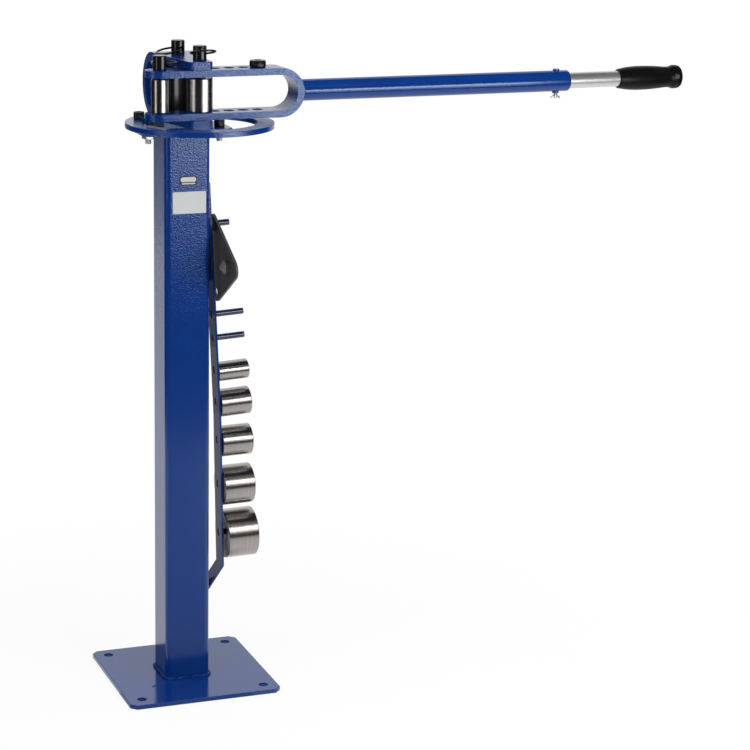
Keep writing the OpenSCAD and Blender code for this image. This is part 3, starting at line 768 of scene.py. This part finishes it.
@dataclass
class Welds(SubAssembly):
    """Hand-laid beads where the stand's and the yoke's pieces meet."""

    foot_radius: float = 3.3 * MM
    small_radius: float = 2.6 * MM
    handle_radius: float = 3.0 * MM
    bar_foot_share: float = 0.8
    spacing: float = 0.45 * MM
    post_corner: float = 8 * MM
    post_rise: float = 0.25
    bar_foot: float = 32 * MM
    handle_points: int = 230
    handle_lean: float = 0.7
    ring_ends: tuple[tuple[str, Point, Point, int], ...] = (
        ("left", (-38.9, 74.5), (-40.0, 100.5), -1), ("right", (32.9, 77.6), (39.9, 100.5), 1))

    def _put(self, bead: bpy.types.Object, body: Rides = Rides.STAND, *replaced: str) -> None:
        """Puts a bead on its body."""
        self.put(bead, Look.WELD_PAINT, body, *replaced)

    def _round_post(self, name: str, height: float, lift: float, radius: float, seed: int,
                    *replaced: str) -> None:
        """A bead round the post, against a plate under or over it.

        Args:
            name: the bead's name.
            height: the plate's face.
            lift: 1 over the plate, -1 under it.
            radius: the bead's radius.
            seed: makes the bead its own.
            replaced: CAD nodes that it stands for.
        """
        low, high = self.layout.post_low, self.layout.post_high
        half = (high - low) / 2
        centre = np.array(((low.x + high.x) / 2, (low.y + high.y) / 2, height))
        points, out = rounded_loop(half.x, half.y, self.post_corner, self.spacing)
        rise = unit(np.column_stack((out, np.full(len(out), lift))))
        path = np.column_stack((points, np.zeros(len(points)))) + centre + rise * radius * self.post_rise
        self._put(Bead(radius, seed, closed=True).build(name, path, rise), Rides.STAND, *replaced)

    def _straight(self, name: str, start: Point, end: Point, lift: Point, seed: int, share: float = 1.0) -> None:
        """A bead on evenly spaced points from start to end.

        Args:
            name: the bead's name.
            start: its first point.
            end: its last point.
            lift: direction out of the joint.
            seed: makes the bead its own.
            share: share of the small radius.
        """
        a, b = np.asarray(start, float), np.asarray(end, float)
        count = max(4, int(np.linalg.norm(b - a) / self.spacing))
        path = a + np.linspace(0, 1, count)[:, None] * (b - a)
        rise = np.broadcast_to(np.asarray(lift, float) / np.linalg.norm(lift), path.shape)
        self._put(Bead(self.small_radius * share, seed).build(name, path, rise))

    def _riser(self) -> None:
        """Beads round the riser block, on the upper flange plate."""
        low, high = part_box("riser_block")
        left, right = low.x + self.small_radius, high.x - self.small_radius
        front, back = low.y + self.small_radius, high.y - self.small_radius
        rows = (("front", (left, low.y), (right, low.y), (0, -1)),
                ("back", (left, high.y), (right, high.y), (0, 1)),
                ("left", (low.x, front), (low.x, back), (-1, 0)),
                ("right", (high.x, front), (high.x, back), (1, 0)))
        for seed, (side, start, end, out) in enumerate(rows, 20):
            self._straight(f"riser_weld_{side}", (*start, low.z), (*end, low.z), (*out, 1), seed)

    def _ring(self) -> None:
        """Beads on the ring where it butts against the frame's lower leg."""
        pivot, top = self.layout.pivot, self.layout.ring_top
        for seed, (side, start, end, out) in enumerate(self.ring_ends, 30):
            a, b = ((pivot.x + x * MM, pivot.y + y * MM, top) for x, y in (start, end))
            self._straight(f"ring_weld_{side}", a, b, (out, 0, 1), seed)

    def _bar(self) -> None:
        """Beads that hold the storage bar's ends to the post."""
        low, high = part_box("storage_bar")
        side, inset = self.layout.post_high.x, self.small_radius
        self._straight("bar_top_weld", (side, low.y + inset, high.z), (side, high.y - inset, high.z),
                       (1, 0, 1), 40)
        for seed, (name, y, out) in enumerate((("front", low.y, -1), ("back", high.y, 1)), 42):
            self._straight(f"bar_foot_weld_{name}", (side, y, low.z + inset), (side, y, low.z + self.bar_foot),
                           (1, out, 0), seed, self.bar_foot_share)

    def _handle(self) -> None:
        """The bead round the handle tube: a circle laid on the round of the yoke's bend."""
        low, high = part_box("handle_tube")
        radius, middle = (high.y - low.y) / 2, (low.y + high.y) / 2
        bend = (self.layout.yoke_top - self.layout.yoke_low) / 2
        angle = full_turn(self.handle_points)
        out = np.stack((0 * angle, np.cos(angle), np.sin(angle)), -1)
        path = np.array((0.0, middle, self.layout.yoke_mid)) + radius * out
        path[:, 0] = self.layout.yoke_end - bend + np.sqrt(bend ** 2 - (path[:, 2] - self.layout.yoke_mid) ** 2)
        path += (out * 0.5 + np.array((0.5, 0, 0))) * self.handle_radius * 0.5
        rise = unit(out + np.array((self.handle_lean, 0, 0)))
        bead = Bead(self.handle_radius, 50, closed=True)
        self._put(bead.build("handle_weld_bead", path, rise), Rides.YOKE, "handle_weld")

    def build(self) -> None:
        """Lays all beads."""
        self._round_post("foot_weld_bead", self.layout.foot_top, 1.0, self.foot_radius, 11, "foot_weld")
        self._round_post("post_top_weld", self.layout.post_high.z, -1.0, self.small_radius, 12)
        self._riser()
        self._ring()
        self._bar()
        self._handle()


def hex_radius(angle: np.ndarray, flats: float) -> np.ndarray:
    """Radius of a hexagon, corners on the X axis: half the flats over the cosine within each sixth.

    Args:
        angle: directions.
        flats: width across flats.

    Returns:
        The radii.
    """
    sixth = TAU / 6
    return flats / 2 / np.cos(np.mod(angle, sixth) - sixth / 2)


def saw(turns: np.ndarray) -> np.ndarray:
    """A triangle wave: 1 at whole turns and 0 halfway between.

    Args:
        turns: where to read it, in turns.

    Returns:
        Its height.
    """
    return np.abs(2 * np.mod(turns, 1.0) - 1)


@dataclass(frozen=True)
class SocketScrew:
    """A socket head screw: knurled head, hexagon socket and a rolled thread."""

    shank: float
    head: float
    head_height: float
    key: float
    length: float
    thread: float
    ridges: int = 36
    steps: int = 144
    pitch: float = 1.5 * MM
    thread_rows: int = 6
    thread_depth: float = 0.45
    thread_inset: float = 0.09
    knurl_depth: float = 0.35 * MM
    soft: float = 0.3 * MM

    def rows(self) -> list[Row]:
        """Returns:
            Lathe rows from the shank's end, over the head, to the socket's floor.
        """
        angle = full_turn(self.steps)
        chamfer = 0.08 * self.shank * 2
        top, end = self.head_height, -self.length
        rows: list[Row] = [(0, end), (self.shank - chamfer, end)]
        count = int(self.thread / self.pitch * self.thread_rows)
        rows += [(self.shank - self.thread_inset * self.pitch
                  - self.thread_depth * self.pitch * saw(z / self.pitch - angle / TAU), z)
                 for z in np.linspace(end + chamfer, end + self.thread, count)]
        rows += [(self.shank, end + self.thread + self.soft), (self.shank, 0)]
        knurl = self.head - self.knurl_depth * saw(angle * self.ridges / TAU)
        edge = self.head * 0.07
        rows += [(self.head - edge, 0), (self.head - 0.2 * MM, edge), (knurl, edge + self.soft),
                 (knurl, top - 2.4 * edge), (self.head - self.soft, top - 2 * edge),
                 (self.head - 0.6 * edge, top - edge), (self.head - 1.7 * edge, top)]
        socket = hex_radius(angle, self.key)
        mouth = 0.35 * MM
        return rows + [(socket + mouth, top), (socket, top - mouth), (socket, top / 2), (0, top / 2 - 0.4 * MM)]

    def add(self, shell: Shell, place: Point) -> None:
        """Adds the screw to a shell.

        Args:
            shell: where it goes.
            place: middle of the head's underside.
        """
        shell.grid(turned(self.rows(), self.steps, upright(place)), wrap_columns=True)


@dataclass(frozen=True)
class HexNut:
    """A hexagon nut with turned chamfers at both ends."""

    flats: float
    height: float
    bore: float
    steps: int = 96
    face: float = 0.97
    slope: float = 0.55
    mouth: float = 0.5 * MM

    def add(self, shell: Shell, place: Point) -> None:
        """Adds the nut to a shell: the hexagon is cut down to a circle that grows from each end.

        Args:
            shell: where it goes.
            place: middle of its underside.
        """
        corner = hex_radius(full_turn(self.steps), self.flats)
        least = self.flats / 2 * self.face
        ends = np.linspace(0.0, 1.0, 5) * (corner.max() - least)
        rows: list[Row] = [(np.minimum(corner, least + rise), rise * self.slope) for rise in ends]
        rows += [(np.minimum(corner, least + rise), self.height - rise * self.slope) for rise in ends[::-1]]
        rows += [(self.bore + self.mouth, self.height), (self.bore, self.height - self.mouth),
                 (self.bore, self.mouth), (self.bore + self.mouth, 0)]
        shell.grid(turned(rows, self.steps, upright(place)), wrap_rows=True, wrap_columns=True)


@dataclass
class Fasteners(SubAssembly):
    """Screws and nuts in place of the plain CAD ones."""

    head: float = 8 * MM
    shank: float = 5 * MM
    head_height: float = 10 * MM
    key: float = 8 * MM
    thread: float = 14 * MM
    nut_flats: float = 17 * MM
    plug_key: float = 10 * MM
    plug_shank: float = 8 * MM
    plug_thread: float = 3 * MM
    plated_below: float = 2 * MM
    screw_smooth: float = 35.0
    nut_smooth: float = 25.0

    def _screws(self, name: str, node: str, seats: Sequence[Point]) -> None:
        """Black screws whose ends under the plate are plated.

        Args:
            name: the new piece's name.
            node: the CAD node that it replaces.
            seats: middle of each head's underside.
        """
        seat = seats[0][2]
        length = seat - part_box(node)[0].z
        screw = SocketScrew(self.shank, self.head, self.head_height, self.key, length, self.thread)
        shell = Shell()
        for place in seats:
            screw.add(shell, place)
        made = self.put(shell.build(name, self.screw_smooth), Look.BLACK, Rides.STAND, node)
        self.second(made, Look.ZINC, lambda centres: centres[:, 2] < seat - self.plated_below)

    def _nuts(self, name: str, node: str, places: Sequence[Point]) -> None:
        """Plated nuts.

        Args:
            name: the new piece's name.
            node: the CAD node that it replaces.
            places: a point on each nut's axis.
        """
        low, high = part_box(node)
        nut = HexNut(self.nut_flats, high.z - low.z, self.shank)
        shell = Shell()
        for x, y, _ in places:
            nut.add(shell, (x, y, low.z))
        self.put(shell.build(name, self.nut_smooth), Look.ZINC, Rides.STAND, node)

    def _plug(self) -> None:
        """The spare pin in the yoke, whose head is a socket screw's."""
        low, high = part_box("yoke_plug")
        seat, middle = self.layout.yoke_top, (low + high) / 2
        screw = SocketScrew(self.plug_shank, (high.x - low.x) / 2, high.z - seat, self.plug_key, seat - low.z,
                            self.plug_thread, ridges=44, steps=176)
        shell = Shell()
        screw.add(shell, (middle.x, middle.y, seat))
        self.put(shell.build("yoke_plug_screw", self.screw_smooth), Look.BLACK, Rides.YOKE, "yoke_plug")

    def build(self) -> None:
        """Makes all fasteners."""
        low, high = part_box("flange_screws")
        middle, seat = (low.y + high.y) / 2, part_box("head_flange")[1].z
        pair = [(low.x + self.head, middle, seat), (high.x - self.head, middle, seat)]
        low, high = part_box("ring_stop_screw")
        stop = [((low.x + high.x) / 2, (low.y + high.y) / 2, self.layout.ring_top)]
        self._screws("flange_socket_screws", "flange_screws", pair)
        self._nuts("flange_hex_nuts", "flange_nuts", pair)
        self._screws("ring_socket_screw", "ring_stop_screw", stop)
        self._nuts("ring_hex_nut", "ring_stop_nut", stop)
        self._plug()


@dataclass
class WingScrew(SubAssembly):
    """The screw that clamps the extension: thread, collar and two pressed wings."""

    stem: float = 3 * MM
    pitch: float = 1.0 * MM
    collar: float = 4.2 * MM
    hub_rise: float = 3.4 * MM
    hub: tuple[Pair, ...] = ((0.0, -1.6), (0.55, -1.6), (0.8, -0.8), (0.85, 1.0), (1.0, 1.5),
                                            (1.0, 2.1))
    thread_from: Pair = (2.4 * MM, 2.6 * MM)
    thread_depth: float = 0.45
    steps: int = 72
    wing_rise: float = 0.6 * MM
    wing_height: float = 4.0 * MM
    wing_thick: float = 2.2 * MM
    wing_grid: tuple[int, int] = (18, 28)

    def _wing(self, centre: Vector, reach: float) -> np.ndarray:
        """One wing: ellipses along its span that swell by a sine, thin outwards and sag towards the tip.

        Args:
            centre: its root.
            reach: how far it goes along X, with its sign.

        Returns:
            The grid of its points.
        """
        u = np.linspace(0, 1, self.wing_grid[0])[:, None]
        v = full_turn(self.wing_grid[1])
        sag = -0.42 * self.wing_height * np.sin(u * math.pi * 0.5) ** 2
        swell = 0.42 + 0.58 * np.sin(np.clip(u * 1.15, 0, 1) * math.pi * 0.62)
        tall = self.wing_height * 0.5 * swell * np.sqrt(1.002 - u ** 6)
        wide = self.wing_thick * 0.5 * (1.3 - 0.5 * u)
        x, y, z = centre
        return np.stack((x + reach * u + 0 * v, y + wide * np.cos(v), z + sag + tall * np.sin(v)), -1)

    def build(self) -> None:
        """Makes the screw."""
        low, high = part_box("clamp_screw")
        middle, reach = (low + high) / 2, (high.x - low.x) / 2
        hub = low.z + self.hub_rise
        angle = full_turn(self.steps)
        rows: list[Row] = [(share * self.collar, hub + rise * MM) for share, rise in self.hub]
        rows.append((self.stem, hub + self.thread_from[0]))
        rows += [(self.stem - self.thread_depth * self.pitch * saw(z / self.pitch - angle / TAU), z)
                 for z in np.arange(hub + self.thread_from[1], high.z - 0.6 * MM, self.pitch / 6)]
        rows += [(self.stem * 0.8, high.z), (0, high.z)]
        place = Matrix.Translation((middle.x, middle.y, 0))
        shell = Shell().grid(turned(rows, self.steps, place), wrap_columns=True)
        for side in (-1, 1):
            wing = self._wing(Vector((middle.x, middle.y, hub + self.wing_rise)), side * reach)
            shell.grid(wing, wrap_columns=True, caps=True)
        self.put(shell.build("wing_screw", 38.0), Look.ZINC, Rides.CLAMP, "clamp_screw")


@dataclass
class Grip(SubAssembly):
    """The moulded grip: swelling body, neck and end flange with a recess."""

    mouth: float = 13.0 * MM
    mouth_rows: tuple[Point, Point] = ((0.004, 0.0, 0.0), (0.94, 0.96, 1.0))
    steps: int = 160
    rows: int = 120
    profile: tuple[Pair, ...] = (
        (0.0, 0.72), (0.006, 0.78), (0.02, 0.81), (0.06, 0.855), (0.12, 0.915), (0.20, 0.965), (0.28, 0.992),
        (0.36, 1.0), (0.46, 0.992), (0.56, 0.965), (0.65, 0.925), (0.72, 0.885), (0.78, 0.86), (0.82, 0.86),
        (0.855, 0.91), (0.88, 0.97), (0.90, 0.985), (0.945, 0.975), (0.97, 0.94), (0.99, 0.86), (1.0, 0.74))
    recess: Pair = (0.865, 0.945)
    recess_ramp: float = 0.006
    recess_half: float = math.radians(14.0)
    recess_side: float = math.radians(2.5)
    recess_at: float = math.radians(-97.0)
    recess_depth: float = 1.3 * MM

    def _aside(self, angle: np.ndarray) -> np.ndarray:
        """Angle between a direction of the section, which runs from +Y to +Z, and the recess's middle."""
        return np.abs(np.angle(np.exp(1j * (angle - (self.recess_at + 1.5 * math.pi)))))

    def build(self) -> None:
        """Makes the grip: the profile's radius round the turn, less the recess's depth where it lies."""
        low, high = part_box("hand_grip")
        middle, length, most = (low + high) / 2, high.x - low.x, (high.z - low.z) / 2
        start, end, ramp = *self.recess, self.recess_ramp
        share = np.array(self.profile)
        at = np.unique(np.concatenate((np.linspace(0, 1, self.rows), share[:, 0],
                                       (start, start + ramp, end - ramp, end))))
        angle = full_turn(self.steps)
        across = np.clip((self.recess_half - self._aside(angle)) / self.recess_side, 0, 1)
        inside = np.clip((at - start) / ramp, 0, 1) * np.clip((end - at) / ramp, 0, 1)
        body = np.interp(at, share[:, 0], share[:, 1])[:, None] * most
        body = body - self.recess_depth * inside[:, None] * across
        places, shares = np.array(self.mouth_rows)
        x = low.x + np.concatenate((places, at)) * length
        radius = np.concatenate((np.broadcast_to((self.mouth * shares)[:, None], (3, self.steps)), body))
        points = np.stack((np.broadcast_to(x[:, None], radius.shape), middle.y + radius * np.cos(angle),
                           middle.z + radius * np.sin(angle)), -1)
        shell = Shell().grid(points, wrap_columns=True, caps=True)
        grip = self.put(shell.build("moulded_grip"), Look.GRIP, Rides.EXTENSION, "hand_grip")

        def floor(centres: np.ndarray) -> np.ndarray:
            """The faces of the recess's floor, within its ends and its sides.

            Args:
                centres: middles of all faces.

            Returns:
                True for each such face.
            """
            along = (centres[:, 0] - low.x) / length
            turn = np.arctan2(centres[:, 2] - middle.z, centres[:, 1] - middle.y)
            level = self._aside(turn) < self.recess_half - self.recess_side
            return level & (along > start + ramp) & (along < end - ramp)

        self.second(grip, Look.RECESS, floor)


@dataclass
class Details(SubAssembly):
    """Small things: the cone on the forming plate's stud and a drop of paint on the foot."""

    stud_from_tip: float = 33.2 * MM
    stud_sunk: float = 0.4 * MM
    cone: Pair = (10.5 * MM, 7.0 * MM)
    cone_profile: tuple[Pair, ...] = (
        (1.0, -0.05), (1.0, 0.0), (0.96, 0.06), (0.16, 0.95), (0.08, 0.99), (0.0, 1.0))
    drop_at: Pair = (-61.0, -52.7)
    drop: Pair = (3.0 * MM, 1.1 * MM)

    def _turn(self, name: str, profile: Iterable[Point], size: Point, steps: int, place: Matrix,
              smooth_below: float) -> bpy.types.Object:
        """A lathe piece whose profile is given in shares of its radius and height.

        Args:
            name: the object's name.
            profile: share of the radius and of the height.
            size: the radius and the height.
            steps: points round the turn.
            place: where it stands.
            smooth_below: edges flatter than this many degrees shade smooth.

        Returns:
            The piece.
        """
        rows = [(r * size[0], z * size[1]) for r, z in profile]
        return Shell().grid(turned(rows, steps, place), wrap_columns=True).build(name, smooth_below)

    def build(self) -> None:
        """Makes both. The drop's profile is a quarter of an ellipse."""
        low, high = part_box("forming_plate")
        place = upright((low.x + self.stud_sunk, low.y + self.stud_from_tip, (low.z + high.z) / 2), (-1, 0, 0))
        cone = self._turn("forming_plate_cone", self.cone_profile, self.cone, 96, place, 50.0)
        # The cone's material is painted light: lighter than the plate it stands on.
        self.put(cone, Look.STUD, Rides.FORMING_PLATE)
        middle = (self.layout.post_low + self.layout.post_high) / 2
        place = upright((middle.x + self.drop_at[0] * MM, middle.y + self.drop_at[1] * MM, self.layout.foot_top))
        quarter = [(np.cos(a), np.sin(a)) for a in np.linspace(0, math.pi / 2, 14)]
        self.put(self._turn("paint_drop", quarter, self.drop, 48, place, SMOOTH_BELOW), Look.PAINT, Rides.STAND)


@dataclass
class Markings(SubAssembly):
    """Ticks on the degree scale, and the blank label and badge on the post, placed in millimetres."""

    label: tuple[Point, Point] = ((-24.0, 741.3), (27.6, 774.3))
    badge: tuple[Point, Point] = ((-13.8, 783.9), (14.0, 797.7))
    badge_face: tuple[Point, Point] = ((-11.8, 789.0), (12.0, 796.2))
    badge_strip: tuple[Point, Point] = ((-10.2, 785.4), (10.6, 787.4))
    badge_out: float = 0.45 * MM
    spacing: float = 0.6 * MM
    ticks: Triple = (199.0, 221.5, 1.5)
    tick_from: float = 86.0 * MM
    tick_to: Pair = (93.2, 90.6)
    tick_half: float = 0.25 * MM
    tick_sunk: float = 0.02 * MM
    tick_high: float = 0.09 * MM

    def _plate(self, name: str, corners: Sequence[Point], round_by: float, out: float, thick: float,
               look: Look) -> None:
        """A thin plate on the post's front: loops of a round rectangle, the last one drawn in.

        Args:
            name: the plate's name.
            corners: its lower left and upper right corner, from the post's middle and the floor.
            round_by: its corner radius.
            out: its distance from the post.
            thick: its thickness.
            look: its material.
        """
        low, high = self.layout.post_low, self.layout.post_high
        (left, bottom), (right, top) = corners
        centre_x = (low.x + high.x) / 2 + (left + right) / 2 * MM
        centre_z = (bottom + top) / 2 * MM
        half_x, half_z = (right - left) / 2 * MM, (top - bottom) / 2 * MM
        depths = ((0.0, 0.0), (0.0, thick * 0.6), (thick * 0.4, thick))
        loops = [rounded_loop(half_x - inset, half_z - inset, max(round_by - inset, thick), self.spacing)[0]
                 for inset, _ in depths]
        count = min(map(len, loops))
        grid = []
        for loop, (_, depth) in zip(loops, depths):
            loop = loop[np.linspace(0, len(loop), count, endpoint=False).astype(int)]
            grid.append(np.column_stack((centre_x + loop[:, 0], np.full(count, low.y - out - depth),
                                         centre_z + loop[:, 1])))
        shell = Shell().grid(np.stack(grid), wrap_columns=True, caps=True)
        self.put(shell.build(name, 30.0), look, Rides.STAND)

    def _ticks(self) -> None:
        """Fine marks across the scale, every fifth one longer."""
        top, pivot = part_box("degree_scale")[1].z, self.layout.pivot
        shell = Shell()
        for number, degrees in enumerate(np.arange(*self.ticks)):
            a = math.radians(degrees)
            outer = self.tick_to[0 if number % 5 == 0 else 1] * MM
            along = np.array((math.cos(a), math.sin(a), 0.0))
            across = np.array((-math.sin(a), math.cos(a), 0.0)) * self.tick_half
            start = np.array((pivot.x, pivot.y, top - self.tick_sunk)) + along * self.tick_from
            end = start + along * (outer - self.tick_from)
            lift = np.array((0.0, 0.0, self.tick_high))
            loop = np.stack((across, across + lift, -across + lift, -across))
            shell.grid(np.stack((start + loop, end + loop)), wrap_columns=True, caps=True)
        self.put(shell.build("scale_ticks"), Look.PLATE, Rides.STAND)

    def build(self) -> None:
        """Makes all markings."""
        self._ticks()
        self._plate("blank_label", self.label, 1.0 * MM, 0.0, 0.25 * MM, Look.LABEL)
        self._plate("badge_base", self.badge, 4.5 * MM, 0.0, 0.5 * MM, Look.BLACK)
        self._plate("badge_face", self.badge_face, 3.2 * MM, self.badge_out, 0.25 * MM, Look.LABEL)
        self._plate("badge_strip", self.badge_strip, 0.9 * MM, self.badge_out, 0.2 * MM, Look.LABEL)


@dataclass(frozen=True)
class Camera:
    """The photograph's camera, fitted to the part. The picture is a crop, which the shift follows."""

    place: Triple = (-1.0161, -3.3527, 1.3865)
    turn: float = math.radians(19.73)
    tilt: float = math.radians(13.808)
    roll: float = math.radians(-0.661)
    focal_px: float = 2369.7
    centre_px: Pair = (300.0, 350.0)
    picture_px: float = 750.0
    sensor: float = 36.0
    clip: Pair = (0.05, 50.0)

    def build(self) -> None:
        """Makes the camera and sets it."""
        forward = Vector((math.sin(self.turn) * math.cos(self.tilt), math.cos(self.turn) * math.cos(self.tilt),
                          -math.sin(self.tilt)))
        right = Vector((math.cos(self.turn), -math.sin(self.turn), 0.0))
        down = forward.cross(right)
        right_rolled = right * math.cos(self.roll) + down * math.sin(self.roll)
        down_rolled = -right * math.sin(self.roll) + down * math.cos(self.roll)
        data = bpy.data.cameras.new("photo_camera")
        data.sensor_width = self.sensor
        data.lens = self.focal_px / self.picture_px * self.sensor
        data.shift_x = 0.5 - self.centre_px[0] / self.picture_px
        data.shift_y = self.centre_px[1] / self.picture_px - 0.5
        data.clip_start, data.clip_end = self.clip
        camera = link("photo_camera", data)
        columns = Matrix((right_rolled, -down_rolled, -forward)).transposed().to_4x4()
        camera.matrix_world = Matrix.Translation(Vector(self.place)) @ columns
        bpy.context.scene.camera = camera


@dataclass(frozen=True)
class Lamp:
    """A rectangular lamp."""

    name: str
    place: Triple
    aim: Triple
    width: float
    height: float
    power: float
    mirrored: bool

    def build(self) -> None:
        """Makes the lamp."""
        data = bpy.data.lights.new(self.name, "AREA")
        data.shape = "RECTANGLE"
        data.size, data.size_y, data.energy = self.width, self.height, self.power
        lamp = link(self.name, data)
        turn = (Vector(self.aim) - Vector(self.place)).to_track_quat("-Z", "Y").to_matrix().to_4x4()
        lamp.matrix_world = Matrix.Translation(Vector(self.place)) @ turn
        lamp.visible_glossy = self.mirrored


@dataclass(frozen=True)
class Flag:
    """An upright arc of card round the object: first and last bearing, radius, lower and upper edge, glow."""

    name: str
    first: float
    last: float
    radius: float
    low: float
    high: float
    level: float = 0.0

    def rows(self) -> np.ndarray:
        """Returns:
            The card's grid: its arc at both heights.
        """
        angle = np.radians(np.linspace(self.first, self.last, 24))
        edge = np.stack((self.radius * np.sin(angle), -self.radius * np.cos(angle)), -1)
        return np.stack([np.column_stack((edge, np.full(len(edge), z))) for z in (self.low, self.high)])


@dataclass
class Studio:
    """White room, soft lamps, white floor, and cards that only reflections see."""

    world_level: float = 0.60
    floor_size: float = 14.0
    floor_grey: float = 0.86
    fade: Four = (0.35, 1.0, 0.88, 1.0)
    card_colour: Four = (0.02, 0.02, 0.022, 1.0)
    lamps: tuple[Lamp, ...] = (
        Lamp("front_softbox", (0.558, -0.987, 0.87), (0.05, -0.1, 0.87), 0.715, 0.26, 4.6, True),
        Lamp("front_lower_softbox", (0.5535, -0.9885, 0.63), (0.05, -0.1, 0.63), 0.7235, 0.22, 1.3, True),
        Lamp("left_softbox", (-1.15, -0.45, 1.0), (0.0, -0.05, 0.85), 0.42, 0.7, 2.1, True),
        Lamp("top_softbox", (0.3, -0.6, 3.0), (0.2, 0.0, 0.5), 2.2, 1.6, 30.0, False),
        Lamp("back_softbox", (0.3, 3.0, 1.8), (0.2, 0.0, 0.6), 2.4, 1.2, 16.0, False),
    )
    flags: tuple[Flag, ...] = (
        Flag("front_flag", -86.0, 52.0, 1.45, 0.0, 1.9),
        Flag("right_flag", 52.0, 118.0, 1.6, 0.0, 1.7),
        Flag("left_flag", -157.0, -86.0, 1.5, 0.0, 1.7),
        Flag("far_left_flag", -180.0, -157.0, 1.5, 0.42, 0.62, 0.5),
        Flag("far_left_high_flag", -180.0, -157.0, 1.5, 0.62, 1.2, 0.08),
    )
    floor_card: tuple[tuple[Point, Point], ...] = (
        ((-1.2, -1.42), (0.46, -1.42)), ((-0.40, -0.045), (0.05, -0.045)))
    floor_card_height: float = 0.4 * MM
    floor_card_level: float = 0.50
    ceiling: tuple[tuple[Point, Point], ...] = (((-1.5, -1.3), (1.8, -1.3)), ((-1.5, 0.6), (1.8, 0.6)))
    ceiling_height: float = 2.1
    # Painted shade in the slot between post and storage bar: cards that only reflections see, grey low down and
    # black at the top. They darken the bar's side that faces the post.
    gap_edge: tuple[Point, ...] = ((0.140, 0.0240), (0.414, 0.0200), (0.520, 0.0150), (0.570, 0.0124),
                                   (0.625, 0.0096), (0.775, 0.0020))
    gap_shade_levels: tuple[float, ...] = (0.40, 0.32, 0.22, 0.10, 0.0)
    gap_card_y: float = 0.0205
    gap_from_post: float = 0.4 * MM

    @staticmethod
    def _backdrop_factor(tree: bpy.types.NodeTree) -> Wire:
        """1 for rays that show the background itself: the kinds of ray summed, at most 1.

        Args:
            tree: where the nodes go.

        Returns:
            The factor.
        """
        path = tree.nodes.new("ShaderNodeLightPath")
        camera, through, mirror = (Wire(tree, path.outputs[f"Is {kind} Ray"])
                                   for kind in ("Camera", "Transmission", "Glossy"))
        return (camera + through + mirror).math("MINIMUM", 1.0)

    def _world(self) -> None:
        """Lights the room evenly, and shows it white."""
        world = bpy.data.worlds.new("white_room")
        world.use_nodes = True
        tree = world.node_tree
        background = tree.nodes["Background"]
        background.inputs["Color"].default_value = WHITE
        level = self._backdrop_factor(tree) * (1.0 - self.world_level) + self.world_level
        level.into(background, "Strength")
        bpy.context.scene.world = world

    @staticmethod
    def _material(name: str, values: Mapping[str, object]) -> bpy.types.Material:
        """A material with values set on its shader.

        Args:
            name: the material's name.
            values: input names with their values.

        Returns:
            The material.
        """
        material = bpy.data.materials.new(name)
        material.use_nodes = True
        for key, value in values.items():
            material.node_tree.nodes["Principled BSDF"].inputs[key].default_value = value
        return material

    def _floor(self) -> None:
        """The floor: matt and shaded near the object, pure white further off."""
        half = self.floor_size / 2
        mesh = bpy.data.meshes.new("floor")
        corners = [(-half, -half, 0), (half, -half, 0), (half, half, 0), (-half, half, 0)]
        mesh.from_pydata(corners, [], [(0, 1, 2, 3)])
        floor = link("floor", mesh)
        grey = (self.floor_grey, self.floor_grey, self.floor_grey, 1.0)
        material = self._material("white_floor", {"Base Color": grey, "Roughness": 0.8, "Specular IOR Level": 0.1})
        tree = material.node_tree
        place = Wire.add(tree, "ShaderNodeTexCoord", "Object")
        away = place.to("ShaderNodeVectorMath", "Value", {0: place}, operation="LENGTH")
        near = away.to("ShaderNodeMapRange", 0, {0: away, **dict(enumerate(self.fade, 1))},
                       interpolation_type="SMOOTHSTEP")
        glow = Wire.add(tree, "ShaderNodeEmission", 0, {"Color": WHITE, "Strength": 1.0})
        share = self._backdrop_factor(tree) * near
        matt = Wire(tree, tree.nodes["Principled BSDF"].outputs[0])
        mixed = share.to("ShaderNodeMixShader", 0, {0: share, 1: matt, 2: glow})
        mixed.into(tree.nodes["Material Output"], "Surface")
        mesh.materials.append(material)

    def _card(self, name: str, rows: np.ndarray, level: float) -> None:
        """A card that only reflections see: black at level 0, else it glows at that share of white.

        Args:
            name: the card's name.
            rows: the grid of its points.
            level: its glow.
        """
        card = Shell().grid(rows).build(name)
        surface = f"card_{level:.2f}"
        card.data.materials.append(bpy.data.materials.get(surface) or self._material(surface, {
            "Base Color": self.card_colour, "Roughness": 1.0, "Specular IOR Level": 0.0,
            "Emission Color": WHITE, "Emission Strength": level}))
        card.visible_camera = card.visible_diffuse = card.visible_transmission = card.visible_shadow = False

    def _cards(self) -> None:
        """The flags, the ceiling, the floor card, and cards behind the slot between post and storage bar."""
        for flag in self.flags:
            self._card(flag.name, flag.rows(), flag.level)
        for name, corners, height, level in (
                ("top_flag", self.ceiling, self.ceiling_height, 0.0),
                ("floor_card", self.floor_card, self.floor_card_height, self.floor_card_level)):
            self._card(name, np.array([[(x, y, height) for x, y in pair] for pair in corners]), level)
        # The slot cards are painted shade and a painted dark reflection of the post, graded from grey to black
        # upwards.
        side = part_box("post")[1].x + self.gap_from_post
        for number, level in enumerate(self.gap_shade_levels):
            edges = self.gap_edge[number:number + 2]
            rows = [((side, self.gap_card_y, z), (side + wide, self.gap_card_y, z)) for z, wide in edges]
            self._card(f"gap_card_{number}", np.array(rows), level)

    def build(self) -> None:
        """Makes the room."""
        bpy.context.scene.view_settings.view_transform = "Standard"
        self._world()
        self._floor()
        self._cards()
        for lamp in self.lamps:
            lamp.build()


def main() -> None:
    """Builds the whole picture."""
    logging.basicConfig(level=logging.INFO, format="%(message)s", stream=sys.stdout)
    for item in list(bpy.data.objects):
        bpy.data.objects.remove(item)
    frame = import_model()
    layout, finishes = Layout.read(), Finishes()
    CadFinish(frame, finishes).build()
    for kind in (Welds, Fasteners, WingScrew, Grip, Details, Markings):
        kind(layout, finishes).build()
    Studio().build()
    Camera().build()


if __name__ == "__main__":
    main()
